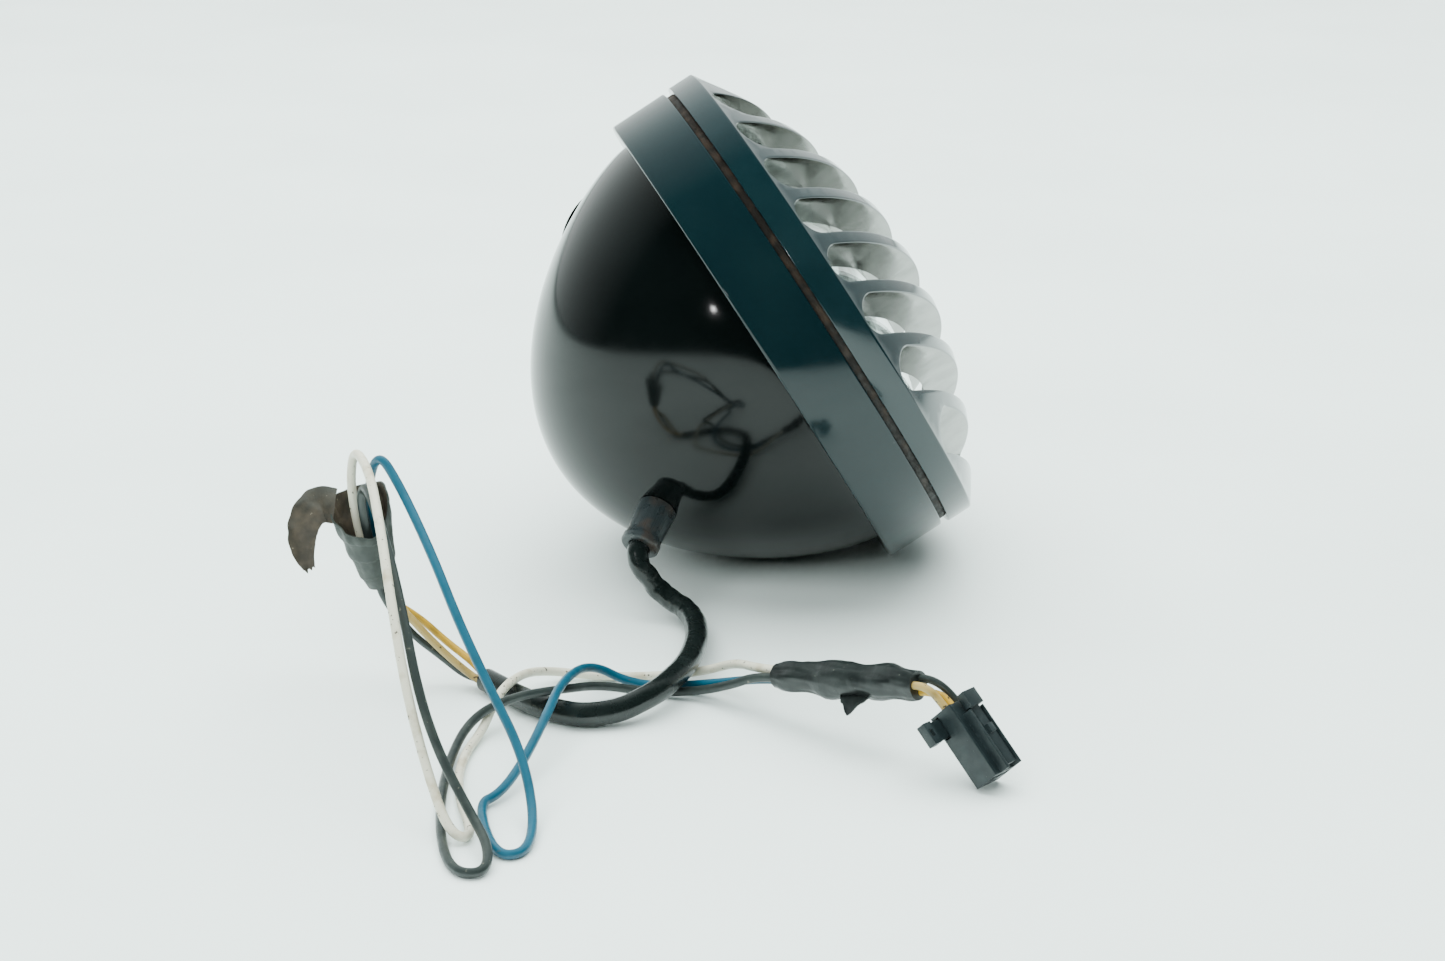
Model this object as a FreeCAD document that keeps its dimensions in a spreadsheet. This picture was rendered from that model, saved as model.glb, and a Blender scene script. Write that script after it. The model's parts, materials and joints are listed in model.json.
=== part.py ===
import FreeCAD, Part
import Sketcher
import math
import os
from FreeCAD import Placement, Rotation, Vector

# Motorcycle headlight: a round bucket, a wide rim band and a finned grille,
# lying on its band and belly, with its wiring harness spread on the table.
# Lamp pieces are drawn in the lamp's own frame (Z forward along the lamp's
# axis, Y towards its top, zero at the band's rear edge) and then placed.

os.makedirs("parts", exist_ok=True)
doc = FreeCAD.newDocument("headlight")

# ---------------------------------------------------------------- sizes

sizes = {
    # resting attitude and place, degrees and mm
    "lampTilt": 31.44, "lampRoll": 36.58, "lampOffset": 0.985,
    # rim band
    "bandRadius": 82.0, "bandWidth": 19.45, "bandWall": 7.4, "bandChamfer": 0.8,
    "flangeBack": 12.4, "flangeFront": 15.0, "flangeReach": 17.5,
    # bucket
    "bucketDepth": 74.1, "bucketWall": 1.5, "bucketGap": 0.1,
    "bucketRound": 1.006, "bucketNose": 1.42,
    # grille
    "sealThickness": 2.35, "grilleStep": 0.5, "grilleEdge": 8.2, "domeHeight": 27.9,
    "finDepth": 12.0, "finThickness": 4.12, "slotCount": 9, "slotInset": 1.0,
    "slotFloor": 27.5, "grilleBoreInset": 11.5,
    # lens and reflector
    "lensRim": 4.0, "lensWall": 3.5, "lensCrown": 22.4, "focalLength": 22.0,
    "reflectorWall": 1.2, "neckRadius": 19.0, "neckWall": 3.5, "seatPlane": 33.0,
    # bulb, clip and plug
    "glassRadius": 8.5, "glassTip": 12.0, "flangeRadius": 21.5, "bladeWidth": 7.7,
    "bladeThickness": 0.8, "clipWire": 0.9, "clipHalfWidth": 15.8, "clipReach": 50.0,
    "plugWidth": 27.0, "plugHeight": 24.0, "plugDepth": 17.5,
    # fasteners
    "rimScrewInset": 4.2, "rimScrewRadius": 1.5, "bucketScrewInset": 12.8,
    "bucketScrewRadius": 1.6,
    # top mount and cable grommet
    "mountLatitude": 27.7, "mountBossRadius": 10.0, "mountBore": 4.2, "mountLength": 9.5,
    "grommetLatitude": 52.0, "grommetAngle": -126.9, "grommetRadius": 6.2,
    "grommetLength": 15.0,
    # harness
    "sleeveRadius": 3.5, "sleeveWall": 0.8, "wireRadius": 1.3, "leadRadius": 1.1,
    "spliceMouth": 10.2, "spliceLength": 29.0, "wrapRadius": 5.2,
    # connector
    "plugLength": 22.4, "shellWidth": 10.0, "shellHeight": 7.5, "cavity": 2.5,
    "cavityPitch": 3.05, "cavityRise": 1.2,
}

sheet = doc.addObject("Spreadsheet::Sheet", "Sizes")
for row, (alias, value) in enumerate(sizes.items(), 1):
    sheet.set(f"A{row}", alias)
    sheet.set(f"B{row}", str(value))
    sheet.setAlias(f"B{row}", alias)
doc.recompute()


class Size:
    """A length with its number and the sheet expression that drives it."""

    def __init__(self, value, text):
        self.value = value
        self.text = text

    def join(self, other, sign, result):
        return Size(result, f"({self.text} {sign} {toSize(other).text})")

    def __add__(self, other):
        return self.join(other, "+", self.value + toSize(other).value)

    def __sub__(self, other):
        return self.join(other, "-", self.value - toSize(other).value)

    def __mul__(self, other):
        return self.join(other, "*", self.value * toSize(other).value)

    def __truediv__(self, other):
        return self.join(other, "/", self.value / toSize(other).value)

    def __neg__(self):
        return Size(-self.value, f"(0 - {self.text})")


def toSize(item):
    return item if isinstance(item, Size) else Size(float(item), repr(float(item)))


def named(alias):
    return Size(float(sheet.get(alias)), f"Sizes.{alias}")


def root(item):
    return Size(math.sqrt(item.value), f"sqrt({item.text})")


def number(alias):
    return float(sheet.get(alias))


# ------------------------------------------------------- derived sizes

bandRadius = named("bandRadius")
bandBore = bandRadius - named("bandWall")
bucketRadius = bandBore - named("bucketGap")
skirtEnd = named("flangeBack") - named("bucketGap")
sealFront = named("bandWidth") + named("sealThickness")
grilleRadius = bandRadius + named("grilleStep")
grilleShoulder = sealFront + named("grilleEdge")
grilleTop = grilleShoulder + named("domeHeight")
grilleBore = grilleRadius - named("grilleBoreInset")
lensRadius = bandRadius - 9.4
lensBack = named("flangeFront") + 1.0
lensFront = lensBack + named("lensRim")
seatBack = -named("seatPlane")


# ------------------------------------------------------- lamp's frame

def bucketCurve(theta, wall=0.0):
    """Radius and depth of the bucket's skin at a latitude from its rim."""
    radius = (bucketRadius.value - wall) * math.cos(theta) ** number("bucketRound")
    depth = (number("bucketDepth") - wall) * math.sin(theta) ** number("bucketNose")
    return radius, -depth


def bucketNormal(theta):
    step = 0.001
    rBefore, zBefore = bucketCurve(theta - step)
    rAfter, zAfter = bucketCurve(theta + step)
    along = Vector(rAfter - rBefore, 0, zAfter - zBefore).normalize()
    return -along.z, along.x


def skinPlacement(latitude, angle):
    """Placement on the bucket's skin with Z along its outward normal."""
    theta = math.radians(latitude)
    turn = math.radians(angle)
    radius, depth = bucketCurve(theta)
    outR, outZ = bucketNormal(theta)
    point = Vector(radius * math.cos(turn), radius * math.sin(turn), depth)
    normal = Vector(outR * math.cos(turn), outR * math.sin(turn), outZ)
    return Placement(point, Rotation(Vector(0, 0, 1), normal))


tilt = math.radians(number("lampTilt"))
roll = math.radians(number("lampRoll"))
axisForward = Vector(math.cos(tilt), 0, math.sin(tilt))
axisLevelUp = Vector(-math.sin(tilt), 0, math.cos(tilt))
axisAway = Vector(0, 1, 0)
lampUp = axisLevelUp * math.cos(roll) + axisAway * math.sin(roll)
lampSide = axisAway * math.cos(roll) - axisLevelUp * math.sin(roll)

# The lamp rests on whichever is lower, the band's rear edge or the belly.
bandDrop = bandRadius.value * math.cos(tilt) - number("bandChamfer") * math.sin(tilt)
bellyDrop = max(
    radius * math.cos(tilt) - depth * math.sin(tilt)
    for radius, depth in (bucketCurve(math.radians(step / 4)) for step in range(360))
)
lampPlace = Placement(
    Vector(number("lampOffset"), 0, max(bandDrop, bellyDrop)),
    Rotation(lampSide, lampUp, axisForward, "ZXY"),
)


# ------------------------------------------------------- builders

def newBody(label):
    body = doc.addObject("PartDesign::Body", label)
    body.Label = label
    return body


def newSketch(body, name, role, lift=None):
    sketch = body.newObject("Sketcher::SketchObject", name)
    plane = next(item for item in body.Origin.OriginFeatures if item.Role == role)
    sketch.AttachmentSupport = [(plane, "")]
    sketch.MapMode = "FlatFace"
    if lift is not None:
        sketch.AttachmentOffset = Placement(Vector(0, 0, lift.value), Rotation())
        sketch.setExpression("AttachmentOffset.Base.z", lift.text)
    return sketch


def pin(sketch, index, position, across, up):
    """Fix one point of a sketch at sheet-driven distances from the origin."""
    across, up = toSize(across), toSize(up)
    for kind, axis, item in (("DistanceX", -2, across), ("DistanceY", -1, up)):
        if item.value == 0:
            sketch.addConstraint(Sketcher.Constraint("PointOnObject", index, position, axis))
            continue
        made = sketch.addConstraint(
            Sketcher.Constraint(kind, -1, 1, index, position, item.value))
        sketch.setExpression(f"Constraints[{made}]", item.text)


def drawProfile(sketch, points):
    """Closed outline through (radius, height, kind) points.

    kind "arc" makes the stretch that leaves the point an arc centred on the
    turning axis; any other kind is a straight line.
    """
    ends = []
    count = len(points)
    for index, (radius, height, kind) in enumerate(points):
        nextRadius, nextHeight, _ = points[(index + 1) % count]
        x0, z0 = toSize(radius).value, toSize(height).value
        x1, z1 = toSize(nextRadius).value, toSize(nextHeight).value
        if kind != "arc":
            sketch.addGeometry(Part.LineSegment(Vector(x0, z0, 0), Vector(x1, z1, 0)), False)
            ends.append((1, 2))
            continue
        middle = (x1 ** 2 + z1 ** 2 - x0 ** 2 - z0 ** 2) / (2 * (z1 - z0))
        reach = math.hypot(x0, z0 - middle)
        first = math.atan2(z0 - middle, x0)
        last = math.atan2(z1 - middle, x1)
        circle = Part.Circle(Vector(0, middle, 0), Vector(0, 0, 1), reach)
        arc = Part.ArcOfCircle(circle, min(first, last), max(first, last))
        sketch.addGeometry(arc, False)
        ends.append((1, 2) if last > first else (2, 1))
        sketch.addConstraint(Sketcher.Constraint("PointOnObject", index, 3, -2))
    for index in range(count):
        following = (index + 1) % count
        sketch.addConstraint(Sketcher.Constraint(
            "Coincident", index, ends[index][1], following, ends[following][0]))
    for index, (radius, height, _) in enumerate(points):
        pin(sketch, index, ends[index][0], radius, height)


def turned(label, points):
    """A body turned about its own Z axis from a half profile."""
    body = newBody(label)
    sketch = newSketch(body, f"{label}_profile", "XZ_Plane")
    drawProfile(sketch, points)
    turn = body.newObject("PartDesign::Revolution", f"{label}_turn")
    turn.Profile = sketch
    turn.ReferenceAxis = (sketch, ["V_Axis"])
    turn.Angle = 360
    sketch.Visibility = False
    doc.recompute()
    return body


def drillCircle(body, name, centre, radius, lift, depth, upward=True, count=4, first=45):
    """Equal holes on a circle, cut from a lifted plane."""
    sketch = newSketch(body, f"{name}_sketch", "XY_Plane", lift)
    for index in range(count):
        angle = math.radians(first + 360 * index / count)
        across = centre * round(math.cos(angle), 9)
        up = centre * round(math.sin(angle), 9)
        sketch.addGeometry(Part.Circle(
            Vector(across.value, up.value, 0), Vector(0, 0, 1), toSize(radius).value), False)
        pin(sketch, index, 3, across, up)
        made = sketch.addConstraint(
            Sketcher.Constraint("Radius", index, toSize(radius).value))
        sketch.setExpression(f"Constraints[{made}]", toSize(radius).text)
    pocket = body.newObject("PartDesign::Pocket", name)
    pocket.Profile = sketch
    pocket.Length = toSize(depth).value
    pocket.setExpression("Length", toSize(depth).text)
    pocket.Reversed = upward
    sketch.Visibility = False
    before = body.Shape.Volume
    doc.recompute()
    if body.Shape.Volume > before - 0.1:
        raise RuntimeError(f"{name} cuts nothing")


def block(name, spanX, spanY, spanZ):
    """Part::Box over three sheet-driven spans."""
    box = doc.addObject("Part::Box", name)
    for side, axis, span in (("Length", "x", spanX), ("Width", "y", spanY),
                             ("Height", "z", spanZ)):
        low, high = toSize(span[0]), toSize(span[1])
        box.setExpression(side, (high - low).text)
        box.setExpression(f"Placement.Base.{axis}", low.text)
    return box


def fuse(label, pieces):
    joined = doc.addObject("Part::MultiFuse", label)
    joined.Label = label
    joined.Shapes = pieces
    return joined


def cut(label, base, tool):
    made = doc.addObject("Part::Cut", label)
    made.Label = label
    made.Base = base
    made.Tool = tool
    return made


def feature(label, shape, place=None):
    made = doc.addObject("Part::Feature", label)
    made.Label = label
    made.Shape = shape
    if place is not None:
        made.Placement = place.multiply(made.Placement)
    return made


def solidRod(radius, start, end):
    run = end - start
    return Part.makeCylinder(radius, run.Length, start, run)


def revolve(edges):
    face = Part.Face(Part.Wire(Part.__sortEdges__(edges)))
    return face.revolve(Vector(0, 0, 0), Vector(0, 0, 1), 360)


def curveEdge(points, startRun, endRun):
    curve = Part.BSplineCurve()
    curve.interpolate(Points=points, InitialTangent=startRun, FinalTangent=endRun)
    return curve.toShape()


def lineEdge(start, end):
    return Part.LineSegment(start, end).toShape()


lampNodes = []
placedNodes = []


def inLamp(item):
    item.Placement = lampPlace.multiply(item.Placement)
    lampNodes.append(item)
    return item


def inWorld(item):
    placedNodes.append(item)
    return item


# ------------------------------------------------------- rim band

band = turned("rim_band", [
    (bandBore, 0, "line"),
    (bandRadius - named("bandChamfer"), 0, "line"),
    (bandRadius, named("bandChamfer"), "line"),
    (bandRadius, named("bandWidth") - 0.4, "line"),
    (bandRadius - 0.4, named("bandWidth"), "line"),
    (bandRadius - 8.6, named("bandWidth"), "line"),
    (bandRadius - 8.6, named("flangeFront"), "line"),
    (bandRadius - named("flangeReach"), named("flangeFront"), "line"),
    (bandRadius - named("flangeReach"), named("flangeBack"), "line"),
    (bandBore, named("flangeBack"), "line"),
])
screwHole = named("rimScrewRadius") + 0.1
rimScrewCircle = bandRadius - named("rimScrewInset")
bucketScrewCircle = bandRadius - named("bucketScrewInset")
drillCircle(band, "band_screw_holes", rimScrewCircle, screwHole,
            toSize(0), named("bandWidth"))
drillCircle(band, "band_head_recess", rimScrewCircle, 2.9, toSize(0), 3.3)
flangeThick = named("flangeFront") - named("flangeBack")
drillCircle(band, "flange_holes", bucketScrewCircle, named("bucketScrewRadius") + 0.1,
            named("flangeBack"), flangeThick, count=3, first=90)
drillCircle(band, "flange_recess", bucketScrewCircle, 3.2,
            named("flangeFront") - 1.6, 1.6, count=3, first=90)
inLamp(band)

# ------------------------------------------------------- gasket behind the grille

seal = turned("rim_seal", [
    (bandRadius - 8.4, named("bandWidth"), "line"),
    (bandRadius - 1.6, named("bandWidth"), "line"),
    (bandRadius - 1.6, sealFront, "line"),
    (bandRadius - 8.4, sealFront, "line"),
])
drillCircle(seal, "seal_screw_holes", rimScrewCircle, screwHole,
            named("bandWidth"), named("sealThickness"))
inLamp(seal)

# ------------------------------------------------------- finned grille

grille = turned("grille", [
    (grilleBore, sealFront, "line"),
    (grilleRadius - 0.4, sealFront, "line"),
    (grilleRadius, sealFront + 0.4, "line"),
    (grilleRadius, grilleShoulder, "arc"),
    (0, grilleTop, "line"),
    (0, grilleTop - named("finDepth"), "arc"),
    (grilleBore, sealFront + 1.7, "line"),
])
slotReach = grilleRadius - named("slotInset")
slotPitch = slotReach * 2 / (named("slotCount") + 0.75)
slotHalf = (slotPitch - named("finThickness")) / 2
endCircle = slotReach - slotHalf


def drawSlot(sketch, first, height):
    """One round-ended slot, its four pieces starting at geometry index first."""
    half = root(endCircle * endCircle - height * height)
    x, y, r = half.value, height.value, slotHalf.value
    quarter = math.pi / 2
    sketch.addGeometry(Part.LineSegment(Vector(-x, y + r, 0), Vector(x, y + r, 0)), False)
    sketch.addGeometry(Part.ArcOfCircle(
        Part.Circle(Vector(x, y, 0), Vector(0, 0, 1), r), -quarter, quarter), False)
    sketch.addGeometry(Part.LineSegment(Vector(x, y - r, 0), Vector(-x, y - r, 0)), False)
    sketch.addGeometry(Part.ArcOfCircle(
        Part.Circle(Vector(-x, y, 0), Vector(0, 0, 1), r), quarter, 3 * quarter), False)
    for one, oneEnd, two, twoEnd in ((0, 2, 1, 2), (1, 1, 2, 1), (2, 2, 3, 2), (3, 1, 0, 1)):
        sketch.addConstraint(Sketcher.Constraint(
            "Tangent", first + one, oneEnd, first + two, twoEnd))
    for arc, across in ((1, half), (3, -half)):
        pin(sketch, first + arc, 3, across, height)
        made = sketch.addConstraint(Sketcher.Constraint("Radius", first + arc, r))
        sketch.setExpression(f"Constraints[{made}]", slotHalf.text)


slots = newSketch(grille, "grille_slots", "XY_Plane", named("slotFloor"))
slotCount = int(number("slotCount"))
for index in range(slotCount):
    drawSlot(slots, 4 * index, slotPitch * (index - (slotCount - 1) / 2))
cutSlots = grille.newObject("PartDesign::Pocket", "grille_cuts")
cutSlots.Profile = slots
cutSlots.Length = 60
cutSlots.setExpression("Length", (named("domeHeight") * 2).text)
cutSlots.Reversed = True
slots.Visibility = False
uncut = grille.Shape.Volume
doc.recompute()
if grille.Shape.Volume > 0.8 * uncut:
    raise RuntimeError("the grille's slots cut too little")
drillCircle(grille, "grille_screw_holes", rimScrewCircle, named("rimScrewRadius"),
            sealFront, 4.2)
inLamp(grille)

# ------------------------------------------------------- rim screws

screws = []
for index in range(4):
    angle = math.radians(45 + 90 * index)
    foot = Vector(math.cos(angle), math.sin(angle), 0) * rimScrewCircle.value
    head = Part.makeCylinder(2.75, 3.0, foot + Vector(0, 0, 0.3))
    socket = Part.makeCylinder(1.3, 1.6, foot + Vector(0, 0, 0.3))
    shank = Part.makeCylinder(number("rimScrewRadius"), sealFront.value + 0.5,
                              foot + Vector(0, 0, 3.3))
    screws.append(head.fuse(shank).cut(socket).removeSplitter())
inLamp(feature("rim_screws", Part.makeCompound(screws)))

# ------------------------------------------------------- bucket

wall = number("bucketWall")
steps = [math.radians(5 * index) for index in range(19)]
outerPoints = [Vector(r, 0, z) for r, z in (bucketCurve(item) for item in steps)]
innerPoints = [Vector(r, 0, z) for r, z in (bucketCurve(item, wall) for item in steps)]
outerPoints[-1] = Vector(0, 0, outerPoints[-1].z)
innerPoints[-1] = Vector(0, 0, innerPoints[-1].z)
down, inward = Vector(0, 0, -1), Vector(-1, 0, 0)
skirtOuter = Vector(bucketRadius.value, 0, skirtEnd.value)
skirtInner = Vector(bucketRadius.value - wall, 0, skirtEnd.value)
bucketShape = revolve([
    curveEdge(outerPoints, down, inward),
    lineEdge(outerPoints[-1], innerPoints[-1]),
    curveEdge(innerPoints, down, inward),
    lineEdge(innerPoints[0], skirtInner),
    lineEdge(skirtInner, skirtOuter),
    lineEdge(skirtOuter, outerPoints[0]),
])
lugSpots = []
for index in range(3):
    angle = math.radians(90 + 120 * index)
    spot = Vector(math.cos(angle), math.sin(angle), 0) * bucketScrewCircle.value
    lugSpots.append(spot)
    lug = solidRod(4.3, spot + Vector(0, 0, 3), spot + Vector(0, 0, skirtEnd.value))
    keep = Part.makeCylinder(bucketRadius.value - wall / 2, 30)
    bucketShape = bucketShape.fuse(lug.common(keep))
for spot in lugSpots:
    hole = solidRod(number("bucketScrewRadius"), spot + Vector(0, 0, 4.5),
                    spot + Vector(0, 0, skirtEnd.value + 1))
    bucketShape = bucketShape.cut(hole)
grommetSpot = skinPlacement(number("grommetLatitude"), number("grommetAngle"))
mountSpot = skinPlacement(number("mountLatitude"), 90)
for spot, radius in ((grommetSpot, 6.0), (mountSpot, number("mountBossRadius"))):
    bore = Part.makeCylinder(radius, 24, Vector(0, 0, -12))
    bore.Placement = spot
    bucketShape = bucketShape.cut(bore)
inLamp(feature("bucket", bucketShape.removeSplitter()))

# ------------------------------------------------------- bucket screws

flangeTop = number("flangeFront")
bucketScrews = []
for spot in lugSpots:
    head = Part.makeCylinder(3.0, 1.5, spot + Vector(0, 0, flangeTop - 1.6))
    shank = solidRod(number("bucketScrewRadius"), spot + Vector(0, 0, 5.5),
                     spot + Vector(0, 0, flangeTop - 1.6))
    slot = Part.makeBox(8, 0.8, 0.7, spot + Vector(-4, -0.4, flangeTop - 0.8))
    bucketScrews.append(head.fuse(shank).cut(slot).removeSplitter())
inLamp(feature("bucket_screws", Part.makeCompound(bucketScrews)))

# ------------------------------------------------------- top mount boss

boss = turned("mount_boss", [
    (named("mountBore"), named("mountLength") * -1 + 2, "line"),
    (named("mountBossRadius") + 3, named("mountLength") * -1 + 2, "line"),
    (named("mountBossRadius") + 3, named("mountLength") * -1 + 4, "line"),
    (named("mountBossRadius"), named("mountLength") * -1 + 4, "line"),
    (named("mountBossRadius"), 1.4, "line"),
    (named("mountBossRadius") - 0.6, 2, "line"),
    (named("mountBore"), 2, "line"),
])
boss.Placement = mountSpot
inLamp(boss)

# ------------------------------------------------------- lens and its seal

lens = turned("lens", [
    (lensRadius, lensBack, "line"),
    (lensRadius, lensFront, "line"),
    (lensRadius - 2.6, lensFront, "arc"),
    (0, lensFront + named("lensCrown"), "line"),
    (0, lensFront + named("lensCrown") - named("lensWall"), "arc"),
    (lensRadius - 6.6, lensBack + 2.5, "line"),
    (lensRadius - 6.6, lensBack, "line"),
])
inLamp(lens)
lensSeal = turned("lens_seal", [
    (lensRadius - 1.9, lensFront, "line"),
    (lensRadius + 0.7, lensFront, "line"),
    (lensRadius + 0.7, sealFront, "line"),
    (lensRadius - 1.9, sealFront, "line"),
])
inLamp(lensSeal)

# ------------------------------------------------------- reflector with bulb seat

focal = number("focalLength")
shell = number("reflectorWall")
bowlRim = lensRadius.value - 10.0
bowlTop = number("flangeFront")
vertex = bowlTop - bowlRim ** 2 / (4 * focal)
neck = number("neckRadius")
radii = [neck + (bowlRim - neck) * index / 16 for index in range(17)]
innerBowl = [Vector(r, 0, vertex + r * r / (4 * focal)) for r in radii]
outerBowl = [point + Vector(0.707, 0, -0.707) * shell for point in innerBowl]
neckOuter = neck + number("neckWall")
seat = seatBack.value
bowlSlope = Vector(1, 0, bowlRim / (2 * focal))
neckSlope = Vector(1, 0, neck / (2 * focal))
rimOut = lensRadius.value - 0.2
corners = [
    innerBowl[-1], Vector(bowlRim, 0, lensBack.value), Vector(rimOut, 0, lensBack.value),
    Vector(rimOut, 0, bowlTop), Vector(outerBowl[-1].x, 0, bowlTop), outerBowl[-1]]
bowlEdges = [curveEdge(innerBowl, neckSlope, bowlSlope)]
bowlEdges += [lineEdge(a, b) for a, b in zip(corners, corners[1:])]
bowlEdges.append(curveEdge(outerBowl[::-1], bowlSlope * -1, neckSlope * -1))
bowlEdges.append(lineEdge(outerBowl[0], innerBowl[0]))
bowl = revolve(bowlEdges)
neckTop = innerBowl[0].z
collar = Part.makeCylinder(neckOuter, neckTop + 0.6 - seat, Vector(0, 0, seat))
collar = collar.cut(Part.makeCylinder(neck, 30, Vector(0, 0, seat - 1)))
collar = collar.cut(Part.makeCylinder(60, 20, Vector(0, 0, neckTop + 0.35)))
clipY = number("clipReach") / 2
clipX = number("clipHalfWidth")
clipPlane = seat - 1.35 - number("clipWire")
lugs = []
for side in (-1, 1):
    ear = Part.makeBox(1.6, 9.0, 8.5, Vector(side * (clipX + 2.0) - 0.8, clipY - 7.0, seat - 5.0))
    web = Part.makeBox(1.6, 16.0, 3.5, Vector(side * (clipX + 2.0) - 0.8, clipY - 14.0, seat))
    lugs += [ear, web]
catchPlate = Part.makeBox(9, 8.0, 1.4, Vector(-4.5, -clipY - 2.8, seat + 0.6))
catchLip = Part.makeBox(9, 1.2, 5.2, Vector(-4.5, -clipY - 2.8, seat - 3.6))
for item in lugs + [catchPlate, catchLip]:
    collar = collar.fuse(item)
pinHole = solidRod(number("clipWire") + 0.06, Vector(-40, clipY, clipPlane),
                   Vector(40, clipY, clipPlane))
collar = collar.cut(pinHole)
collar = collar.cut(Part.makeCylinder(neck, 30, Vector(0, 0, seat - 1)))
reflectorShape = bowl.fuse(collar).removeSplitter()
inLamp(feature("reflector", reflectorShape))

# ------------------------------------------------------- bulb

base = turned("bulb_base", [
    (0, seatBack + 13, "line"),
    (named("glassRadius") + 1.5, seatBack + 13, "line"),
    (named("glassRadius") + 1.5, seatBack, "line"),
    (named("flangeRadius"), seatBack, "line"),
    (named("flangeRadius"), seatBack - 1.0, "line"),
    (named("glassRadius") + 0.5, seatBack - 1.0, "line"),
    (named("glassRadius") + 0.5, seatBack - 8.0, "line"),
    (0, seatBack - 8.0, "line"),
])
inLamp(base)
glass = turned("bulb_glass", [
    (0, seatBack + 13, "line"),
    (named("glassRadius"), seatBack + 13, "line"),
    (named("glassRadius"), named("glassTip") - 6.0, "line"),
    (named("glassRadius") - 2.5, named("glassTip") - 1.0, "line"),
    (named("glassRadius") - 5.5, named("glassTip"), "line"),
    (0, named("glassTip"), "line"),
])
inLamp(glass)

bladeTop = seatBack - 8.0
bladeEnd = seatBack - 16.0
halfBlade = named("bladeWidth") / 2
thick = named("bladeThickness")
blades = fuse("bulb_terminals", [
    block("blade_left", (toSize(-7.4) - thick, -7.4), (-halfBlade, halfBlade),
          (bladeEnd, bladeTop)),
    block("blade_right", (7.4, thick + 7.4), (-halfBlade, halfBlade), (bladeEnd, bladeTop)),
    block("blade_top", (-halfBlade, halfBlade), (6.6, thick + 6.6), (bladeEnd, bladeTop)),
])
inLamp(blades)

# ------------------------------------------------------- bulb's wire bail

wire = number("clipWire")
pinEnd = clipX + 3.2
bail = solidRod(wire, Vector(-clipX, clipY, clipPlane), Vector(-clipX, -clipY, clipPlane))
for start, end in (
        (Vector(clipX, clipY, clipPlane), Vector(clipX, -clipY, clipPlane)),
        (Vector(-clipX, -clipY, clipPlane), Vector(clipX, -clipY, clipPlane)),
        (Vector(-pinEnd, clipY, clipPlane), Vector(-clipX, clipY, clipPlane)),
        (Vector(clipX, clipY, clipPlane), Vector(pinEnd, clipY, clipPlane))):
    bail = bail.fuse(solidRod(wire, start, end))
for side in (-1, 1):
    for level in (-1, 1):
        corner = Vector(side * clipX, level * clipY, clipPlane)
        bail = bail.fuse(Part.makeSphere(wire, corner))
inLamp(feature("bulb_clip", bail.removeSplitter()))

# ------------------------------------------------------- bulb's plug

plugTop = seatBack - 8.0
plugBack = plugTop - named("plugDepth")
plugBody = block("plug_body", (-named("plugWidth") / 2, named("plugWidth") / 2),
                 (-named("plugHeight") / 2, named("plugHeight") / 2), (plugBack, plugTop))
room = 0.25
hollows = fuse("plug_hollows", [
    block("hollow_left", (toSize(-7.4 - room) - thick, -7.4 + room),
          (-halfBlade - room, halfBlade + room), (bladeEnd - 1, plugTop + 1)),
    block("hollow_right", (7.4 - room, thick + 7.4 + room),
          (-halfBlade - room, halfBlade + room), (bladeEnd - 1, plugTop + 1)),
    block("hollow_top", (-halfBlade - room, halfBlade + room),
          (6.6 - room, thick + 6.6 + room), (bladeEnd - 1, plugTop + 1)),
])
inLamp(cut("bulb_socket", plugBody, hollows))

# ------------------------------------------------------- grommet

grommetBody = turned("cord_grommet", [
    (named("sleeveRadius"), -4.6, "line"),
    (7.4, -4.6, "line"),
    (7.4, -2.2, "line"),
    (5.95, -2.2, "line"),
    (5.95, 0, "line"),
    (named("grommetRadius"), 0, "line"),
    (named("grommetRadius") - 0.5, named("grommetLength") - 3.2, "line"),
    (named("grommetRadius") - 0.1, named("grommetLength") - 2.4, "line"),
    (named("grommetRadius") - 0.1, named("grommetLength") - 0.5, "line"),
    (named("grommetRadius") - 0.6, named("grommetLength"), "line"),
    (named("sleeveRadius"), named("grommetLength"), "line"),
])
grommetBody.Placement = grommetSpot
inLamp(grommetBody)

# ------------------------------------------------------- cord routes

def frameOf(direction):
    """Two unit vectors square to a direction."""
    along = Vector(direction).normalize()
    helper = Vector(0, 0, 1) if abs(along.z) < 0.9 else Vector(1, 0, 0)
    first = along.cross(helper).normalize()
    return first, along.cross(first)


def spread(direction, distance, count=3, turn=90):
    """Offsets of equal wires set round a centre line."""
    first, second = frameOf(direction)
    return [first * (distance * math.cos(math.radians(turn + 360 * index / count)))
            + second * (distance * math.sin(math.radians(turn + 360 * index / count)))
            for index in range(count)]


def centreLine(name, points):
    """Straight runs joined by tangent arcs, in one wire."""
    edges = []
    last = points[0]
    radii = []
    for before, corner, after in zip(points, points[1:], points[2:]):
        back, forth = before - corner, after - corner
        shorter = min(back.Length, forth.Length)
        back.normalize()
        forth.normalize()
        turn = math.pi - back.getAngle(forth)
        if turn < 0.01:
            continue
        reach = 0.45 * shorter
        radius = reach / math.tan(turn / 2)
        radii.append(round(radius, 1))
        start, end = corner + back * reach, corner + forth * reach
        bisector = (back + forth).normalize()
        centre = corner + bisector * math.hypot(radius, reach)
        middle = centre - bisector * radius
        edges.append(lineEdge(last, start))
        edges.append(Part.Arc(start, middle, end).toShape())
        last = end
    edges.append(lineEdge(last, points[-1]))
    print(name, "arc radii", radii)
    return Part.Wire(edges)


def sweepDisc(line, radius, start, direction):
    ring = Part.Wire(Part.Circle(start, direction, radius).toShape())
    maker = line.makePipeShell([ring], True, False, 2)
    return maker if maker.Volume > 0 else maker.reversed()


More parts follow.
